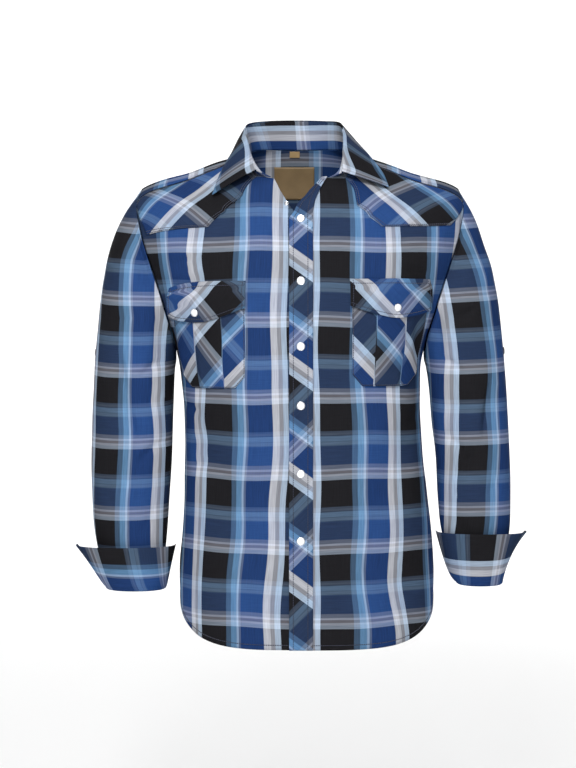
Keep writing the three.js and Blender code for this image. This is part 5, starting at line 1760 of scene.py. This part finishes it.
@dataclass(frozen=True)
class PocketSize:
    """Corners of a patch pocket, seen from the front, from the side nearer the placket outwards."""

    side: Side
    inner: float
    outer: float
    bottom_outer: float
    top: float
    bottom: float
    cut: float
    flap: tuple[tuple[float, float, float], ...]
    snap: tuple[float, float]
    pocket_lay: Lay
    flap_lay: Lay


@dataclass
class Pocket:
    """A patch pocket with a box pleat, and its pointed flap."""

    size: PocketSize
    rise: float = 1.2
    pleat_rise: float = 1.4
    pleat_middle: float = 0.52
    pleat_half: float = 0.2
    pleat_take: float = 40.0

    @property
    def label(self) -> str:
        """Returns right or left."""
        return self.size.side.name.lower()

    def pocket(self) -> ClothPiece:
        """Returns the pocket."""
        size = self.size

        def surface(a: np.ndarray, b: np.ndarray, out: float) -> np.ndarray:
            """Returns points of the pocket, whose second share goes up."""
            down = 1 - b
            x = lerp(size.inner, lerp(size.outer, size.bottom_outer, down**1.5), a)
            from_corner = np.minimum(a, 1 - a) * abs(size.outer - size.inner)
            z = lerp(size.top, size.bottom + np.maximum(0, size.cut - from_corner), down)
            angle, ring = ring_at(x, z, Face.FRONT)
            middle = np.maximum(0, np.sin(math.pi * a) * np.sin(math.pi * down))
            pleat = self.pleat_rise * smoothstep(self.pleat_half - np.abs(a - self.pleat_middle), 0, 0.05)
            return on_body(angle, ring, LAYER + self.rise * middle + pleat + 0.6 * smoothstep(a, 0.6, 1) + out)

        even = unrolled(surface)

        def flat(a: np.ndarray, b: np.ndarray) -> np.ndarray:
            """Returns flat places, with the cloth that the pleat takes up left out."""
            taken = self.pleat_take * ((a > self.pleat_middle - self.pleat_half).astype(float)
                                       + (a > self.pleat_middle + self.pleat_half))
            return even(a, b) + np.stack([taken * size.side.value, np.zeros(len(a))], -1)

        name = "pocket_" + self.label
        cut = Cut(name, "plaid_bias", size.pocket_lay, (60, 56), ("front_" + self.label,))
        return ClothPiece(cut, surface, flat)

    def flap(self) -> ClothPiece:
        """Returns the flap over the pocket."""
        over = self.rise + self.pleat_rise + LAYER
        rows = np.array(self.size.flap, float)

        def surface(a: np.ndarray, b: np.ndarray, out: float) -> np.ndarray:
            """Returns points of the flap, whose second share goes up."""
            x, top, bottom = smooth_rows(rows, a * (len(rows) - 1)).T
            down = 1 - b
            angle, ring = ring_at(x, lerp(top, bottom, down), Face.FRONT)
            return on_body(angle, ring, LAYER + over * smoothstep(down, 0, 0.34) + out)

        cut = Cut("flap_" + self.label, "plaid_bias", self.size.flap_lay, (56, 26), ("pocket_" + self.label,))
        return ClothPiece(cut, surface, unrolled(surface))


@dataclass
class InsideLabel:
    """A small bare rectangle on the hollow side of the back yoke."""

    node: str
    slot: str
    left: float
    right: float
    top: float
    bottom: float
    thickness: float = 0.9
    drop: float = -0.3

    def cloth(self) -> ClothPiece:
        """Returns the label."""

        def surface(a: np.ndarray, b: np.ndarray, out: float) -> np.ndarray:
            """Returns points of the label."""
            angle, ring = ring_at(lerp(self.left, self.right, a), lerp(self.bottom, self.top, b), Face.BACK)
            return on_body(angle, ring, self.drop + out)

        cut = Cut(self.node, self.slot, Lay(), (24, 18), ("back_yoke",), Held.FOLDED, self.thickness)
        return ClothPiece(cut, surface, unrolled(surface, 9, 9))


class Fasteners:
    """Pearl snaps, bare metal snaps and buttons, each turned from a profile."""

    SEGMENTS = 28

    @classmethod
    def turned(cls, bm: bmesh.types.BMesh, profile: tuple[tuple[float, float], ...], material: int) -> None:
        """Spins a profile of radius and height about Z and closes it.

        Args:
            bm: the mesh that it goes into, in millimetres.
            profile: the profile from the axis at the bottom to the axis at the top.
            material: the index of its material.
        """
        before = set(bm.faces)
        verts = [bm.verts.new((radius, 0, height)) for radius, height in profile]
        edges = [bm.edges.new(pair) for pair in zip(verts, verts[1:])]
        bmesh.ops.spin(bm, geom=verts + edges, axis=(0, 0, 1), cent=(0, 0, 0), angle=2 * math.pi,
                       steps=cls.SEGMENTS, use_merge=True)
        shell = [face for face in bm.faces if face not in before]
        bmesh.ops.remove_doubles(bm, verts=list({v for f in shell for v in f.verts}), dist=0.001)
        faces = [face for face in bm.faces if face not in before]
        for face in faces:
            face.material_index = material
        bmesh.ops.recalc_face_normals(bm, faces=faces)

    @classmethod
    def fasten(cls, name: str, bm: bmesh.types.BMesh, at: np.ndarray, normal: np.ndarray, out: float,
               finishes: tuple[str, ...], slot: str) -> bpy.types.Object:
        """Places a turned fastener on the cloth and lets it stand for its node."""
        turn = Vector((0, 0, 1)).rotation_difference(Vector(normal)).to_matrix().to_4x4()
        spot = Matrix.Translation(Vector(at) + Vector(normal) * out)
        bmesh.ops.transform(bm, matrix=Matrix.Scale(MM, 4) @ spot @ turn, verts=bm.verts[:])
        piece = new_object(name + "_dressed", bm, finishes)
        return place_piece(piece, slot, name)

    @classmethod
    def pearl(cls, name: str, at: np.ndarray, normal: np.ndarray, out: float,
              radius: float = 6.2) -> bpy.types.Object:
        """Returns a pearl snap: a domed cap in a thin metal rim."""
        bm = bmesh.new()
        rim = ((0, 0), (0.9, 0), (0.98, 0.1), (1, 0.35), (0.985, 0.75), (0.95, 0.98), (0.9, 1.05), (0.86, 0.98),
               (0.85, 0.7), (0, 0.7))
        cls.turned(bm, tuple((r * radius, h) for r, h in rim), 1)
        dome = ((0, 0.6), (0.85, 0.6), (0.86, 0.95), (0.83, 1.3), (0.74, 1.72), (0.6, 2.08), (0.42, 2.34),
                (0.2, 2.48), (0, 2.52))
        cls.turned(bm, tuple((r * radius, h) for r, h in dome), 0)
        return cls.fasten(name, bm, at, normal, out, ("pearl_snap", "snap_metal"), "pearl_snap")

    @classmethod
    def metal(cls, name: str, at: np.ndarray, normal: np.ndarray, out: float,
              radius: float) -> bpy.types.Object:
        """Returns a bare snap part: a ring round a hollow with a stud."""
        bm = bmesh.new()
        ring = ((0, 0), (0.92, 0), (1, 0.3), (1, 0.9), (0.93, 1.3), (0.8, 1.42), (0.66, 1.2), (0.58, 0.8),
                (0.42, 0.75), (0.38, 1.4), (0.34, 2.0), (0.24, 2.3), (0, 2.4))
        cls.turned(bm, tuple((r * radius, h) for r, h in ring), 0)
        return cls.fasten(name, bm, at, normal, out, ("snap_metal",), "snap_metal")

    @classmethod
    def button(cls, name: str, at: np.ndarray, normal: np.ndarray, out: float,
               radius: float = 6.0) -> bpy.types.Object:
        """Returns a dark button with a raised rim and a stitched middle."""
        bm = bmesh.new()
        disc = ((0, 0), (0.8, 0), (0.95, 0.4), (1, 1.1), (0.98, 1.8), (0.9, 2.2), (0.78, 2.3), (0.66, 2.0),
                (0.5, 1.6), (0, 1.5))
        cls.turned(bm, tuple((r * radius, h) for r, h in disc), 0)
        for angle in (math.pi / 4, -math.pi / 4):
            turn = Matrix.Rotation(angle, 4, "Z")
            size = Matrix.Diagonal((4.2, 0.8, 0.7, 1))
            made = bmesh.ops.create_cube(bm, size=1, matrix=Matrix.Translation((0, 0, 1.75)) @ turn @ size)
            for face in {f for v in made["verts"] for f in v.link_faces}:
                face.material_index = 1
        return cls.fasten(name, bm, at, normal, out, ("dark_button", "thread"), "dark_button")


def front_spot(x: float, z: float) -> tuple[np.ndarray, np.ndarray]:
    """Returns point and direction of the body's cloth at a place seen from the front."""
    angle, ring = ring_at(np.array([x]), np.array([z]), Face.FRONT)
    return on_body(angle, ring, 0.0)[0], outward(body_form, angle, ring, 0.01)[0]


@dataclass
class Studio:
    """Pale sweep, soft lights and the camera at the photograph's angle."""

    floor_z: float = -1.02
    wall_y: float = 5.0
    camera_at: tuple[float, float, float] = (-0.018, -2.8, -0.26)
    lens: float = 87.5
    sensor: float = 36.0
    shift_y: float = -0.0634
    world_light: float = 0.18
    seen_paler: float = 0.75
    lamps: tuple[tuple[str, tuple[float, float, float], float, float], ...] = (
        ("key", (-0.45, -2.7, 1.5), 0.7, 86), ("fill", (0.9, -3.0, 0.9), 1.2, 12),
        ("front", (0.0, -3.4, 0.0), 1.0, 14), ("top", (0.0, -0.4, 2.0), 1.6, 14),
        ("wall_left", (-2.6, 2.8, 1.2), 2.4, 95), ("wall_right", (2.6, 2.8, 1.2), 2.4, 95),
        ("wall_low", (0.0, 2.9, 0.4), 2.4, 60),
    )

    def build(self) -> None:
        """Makes the sweep, the lights, the world and the camera."""
        self.sweep()
        for name, place, size, power in self.lamps:
            self.light(name, Vector(place), size, power)
        world = bpy.data.worlds.new("studio")
        world.use_nodes = True
        backdrop = world.node_tree.nodes["Background"]
        rays = node(world.node_tree, "ShaderNodeLightPath")
        paler = maths(world.node_tree, "MULTIPLY", rays.outputs["Is Camera Ray"], self.seen_paler)
        strength = maths(world.node_tree, "ADD", paler, self.world_light)
        world.node_tree.links.new(strength, backdrop.inputs["Strength"])
        backdrop.inputs["Color"].default_value = (1, 1, 1, 1)
        scene = bpy.context.scene
        scene.world = world
        scene.view_settings.view_transform = "Standard"
        data = bpy.data.cameras.new("camera")
        data.lens = self.lens
        data.sensor_fit = "VERTICAL"
        data.sensor_height = self.sensor
        data.shift_y = self.shift_y
        camera = bpy.data.objects.new("camera", data)
        camera.location = self.camera_at
        camera.rotation_euler = (math.pi / 2, 0, 0)
        scene.collection.objects.link(camera)
        scene.camera = camera

    def sweep(self) -> None:
        """Makes the pale floor that bends up into a wall behind the shirt."""
        turns = np.linspace(0, math.pi / 2, 17)
        bend = [(self.wall_y - 2 + 2 * math.sin(t), self.floor_z + 2 - 2 * math.cos(t)) for t in turns]
        profile = [(-12.0, self.floor_z), *bend, (self.wall_y, 9.0)]
        bm = bmesh.new()
        rows = [[bm.verts.new((x, y, z)) for x in (-14.0, 14.0)] for y, z in profile]
        for low, high in zip(rows, rows[1:]):
            bm.faces.new((low[0], low[1], high[1], high[0]))
        mesh = bpy.data.meshes.new("floor")
        bm.to_mesh(mesh)
        bm.free()
        mesh.polygons.foreach_set("use_smooth", [True] * len(mesh.polygons))
        material, shader = new_material("pale_floor")
        shader.inputs["Base Color"].default_value = (0.95, 0.95, 0.95, 1)
        shader.inputs["Roughness"].default_value = 1.0
        shader.inputs["Specular IOR Level"].default_value = 0.0
        tree = material.node_tree
        rays = node(tree, "ShaderNodeLightPath")
        glow = node(tree, "ShaderNodeEmission", Strength=0.95)
        mix = node(tree, "ShaderNodeMixShader")
        tree.links.new(maths(tree, "MULTIPLY", rays.outputs["Is Camera Ray"], self.seen_paler), mix.inputs[0])
        tree.links.new(shader.outputs[0], mix.inputs[1])
        tree.links.new(glow.outputs[0], mix.inputs[2])
        tree.links.new(mix.outputs[0], tree.nodes["Material Output"].inputs["Surface"])
        mesh.materials.append(material)
        floor = bpy.data.objects.new("floor", mesh)
        bpy.context.scene.collection.objects.link(floor)

    @staticmethod
    def light(name: str, place: Vector, size: float, power: float) -> None:
        """Adds a soft square light that looks at the chest, or at the wall behind it."""
        data = bpy.data.lights.new(name, "AREA")
        data.size = size
        data.energy = power
        lamp = bpy.data.objects.new(name, data)
        lamp.location = place
        target = Vector((0, 5, 0)) if name.startswith("wall") else Vector((0, 0, -0.33))
        lamp.rotation_euler = (target - place).to_track_quat("-Z", "Y").to_euler()
        bpy.context.scene.collection.objects.link(lamp)


POCKETS = (
    PocketSize(
        Side.RIGHT, -79.5, -186, -170, -206, -336, 17,
        ((-78.7, -182, -221), (-100, -182, -229), (-122, -182, -236.5), (-140, -182.5, -240.5),
         (-160, -184, -239.5), (-178, -187, -236), (-191, -191, -228)),
        (-150, -226.5), BIAS_RIGHT, replace(BIAS_RIGHT, shift_u=71.1, shift_v=-26.4),
    ),
    PocketSize(
        Side.LEFT, 74, 184, 168, -204, -333, 17,
        ((70.5, -179, -218), (92, -179, -225), (115, -178.5, -231), (136, -178, -234),
         (157, -178, -231.5), (175, -178, -226.5), (188, -178.5, -221)),
        (137, -219.5), Lay(warp=45, weft=225, shift_u=11.5, shift_v=14.1),
        Lay(warp=225, weft=45, shift_u=37.1, shift_v=57.5),
    ),
)
ARMS = (
    Arm(RIGHT_ARM, CuffTop(-259.5, -571, -20, 73.5, 53, 0.5, 0.85), Lay(shift_u=-26.0, shift_v=215.3),
        Lay(warp=-90, weft=90, shift_u=18.2, shift_v=-38.3), 0.96,
        ((90, -14), (150, -12), (235, 6), (400, 6), (480, 1.5), (540, -8), (570, -14), (632, -16))),
    Arm(LEFT_ARM, CuffTop(269.5, -551, -20, 66.5, 53, 0.45, 1.35), Lay(shift_u=112.0, shift_v=210.3),
        Lay(warp=90, weft=90, shift_u=40.0, shift_v=-127.0), 0.86),
)
FRONT_SNAPS = (-92.4, -182.4, -275.8, -360.6, -458.5, -554.7)
SNAP_X = 0.3
NECK_STUD = (-20.0, -68.0)


def build_body() -> None:
    """Builds the panels with their seams."""
    panels = BodyPanels()
    seams = Topstitching("topstitch_body")
    fronts = [panels.front(side) for side in Side]
    back = panels.back()
    yokes = [panels.front_yoke(side) for side in Side]
    back_yoke = panels.back_yoke()
    placket, under = panels.placket(), panels.under_placket()
    for piece in (*fronts, back, *yokes, back_yoke, placket, under):
        piece.build()
    for front in fronts:
        seams.add(front.inset(Edge.BOTTOM, 7.0))
    seams.add(back.inset(Edge.BOTTOM, 7.0))
    for yoke in yokes:
        seams.add(yoke.inset(Edge.BOTTOM, 1.8), yoke.inset(Edge.BOTTOM, 6.0), yoke.inset(Edge.TOP, 2.0))
    seams.add(back_yoke.inset(Edge.BOTTOM, 1.8), back_yoke.inset(Edge.BOTTOM, 6.0))
    seams.add(placket.inset(Edge.START, 6.0, 0, 0.985), placket.inset(Edge.END, 7.5, 0, 0.985))
    seams.build()


def build_collar() -> None:
    """Builds the collar with its seams."""
    collar = Collar()
    stand, leaf = collar.stand(), collar.leaf()
    stand.build()
    leaf.build()
    seams = Topstitching("topstitch_collar")
    ends = (leaf.inset(edge, 5.5, 0.05, 0.9) for edge in (Edge.START, Edge.END))
    seams.add(leaf.inset(Edge.TOP, 5.5), *ends)
    seams.build()


def build_arms() -> None:
    """Builds the sleeves and cuffs with their snaps and buttons."""
    for arm in ARMS:
        sleeve, cuff = arm.sleeve(), arm.cuff()
        sleeve.build()
        cuff.build()
        seams = Topstitching("topstitch_cuff_" + arm.label)
        ends = (cuff.inset(edge, 4.0, 0.45, 0.97) for edge in (Edge.START, Edge.END))
        seams.add(cuff.inset(Edge.TOP, 5.0), *ends)
        seams.build()
        at, normal = arm.button_place()
        Fasteners.button("tab_button_" + arm.label, at, normal, 0.1)
        at, normal = arm.snap_place()
        Fasteners.metal("snap_cuff_" + arm.label, at, normal, 0.1, 4.6)


def build_pockets() -> None:
    """Builds the pockets and flaps with their snaps and seams."""
    for size in POCKETS:
        pocket = Pocket(size)
        body, flap = pocket.pocket(), pocket.flap()
        body.build()
        flap.build()
        seams = Topstitching("topstitch_pocket_" + pocket.label)
        seams.add(body.inset(Edge.START, 1.6), body.inset(Edge.BOTTOM, 1.6), body.inset(Edge.END, 1.6))
        seams.add(flap.inset(Edge.TOP, 6.5), flap.inset(Edge.BOTTOM, 5.0))
        seams.add(flap.inset(Edge.START, 4.5), flap.inset(Edge.END, 4.5))
        seams.build()
        at, normal = front_spot(*size.snap)
        out = LAYER * 2 + pocket.rise + pocket.pleat_rise
        Fasteners.pearl("snap_pocket_" + pocket.label, at, normal, out)


def build_small() -> None:
    """Builds the snaps down the placket, the stud, the label and the tape."""
    for index, z in enumerate(FRONT_SNAPS):
        at, normal = front_spot(SNAP_X, z)
        Fasteners.pearl(f"snap_front_{index + 1}", at, normal, LAYER + 0.1)
    at, normal = front_spot(*NECK_STUD)
    Fasteners.metal("snap_neck", at, normal, 0.1 - FRONT_TUCK, 3.4)
    InsideLabel("neck_label", "tan_label", -39.3, 22.7, 0, -48.7).cloth().build()
    InsideLabel("size_tab", "tan_tape", -15.4, 0, 23, 14).cloth().build()


def main() -> None:
    """Builds the shirt piece by piece, then the studio."""
    Studio().build()
    for step in (build_body, build_collar, build_arms, build_pockets, build_small):
        step()
        LOG.info("%s done", step.__name__)


if __name__ == "__main__":
    main()
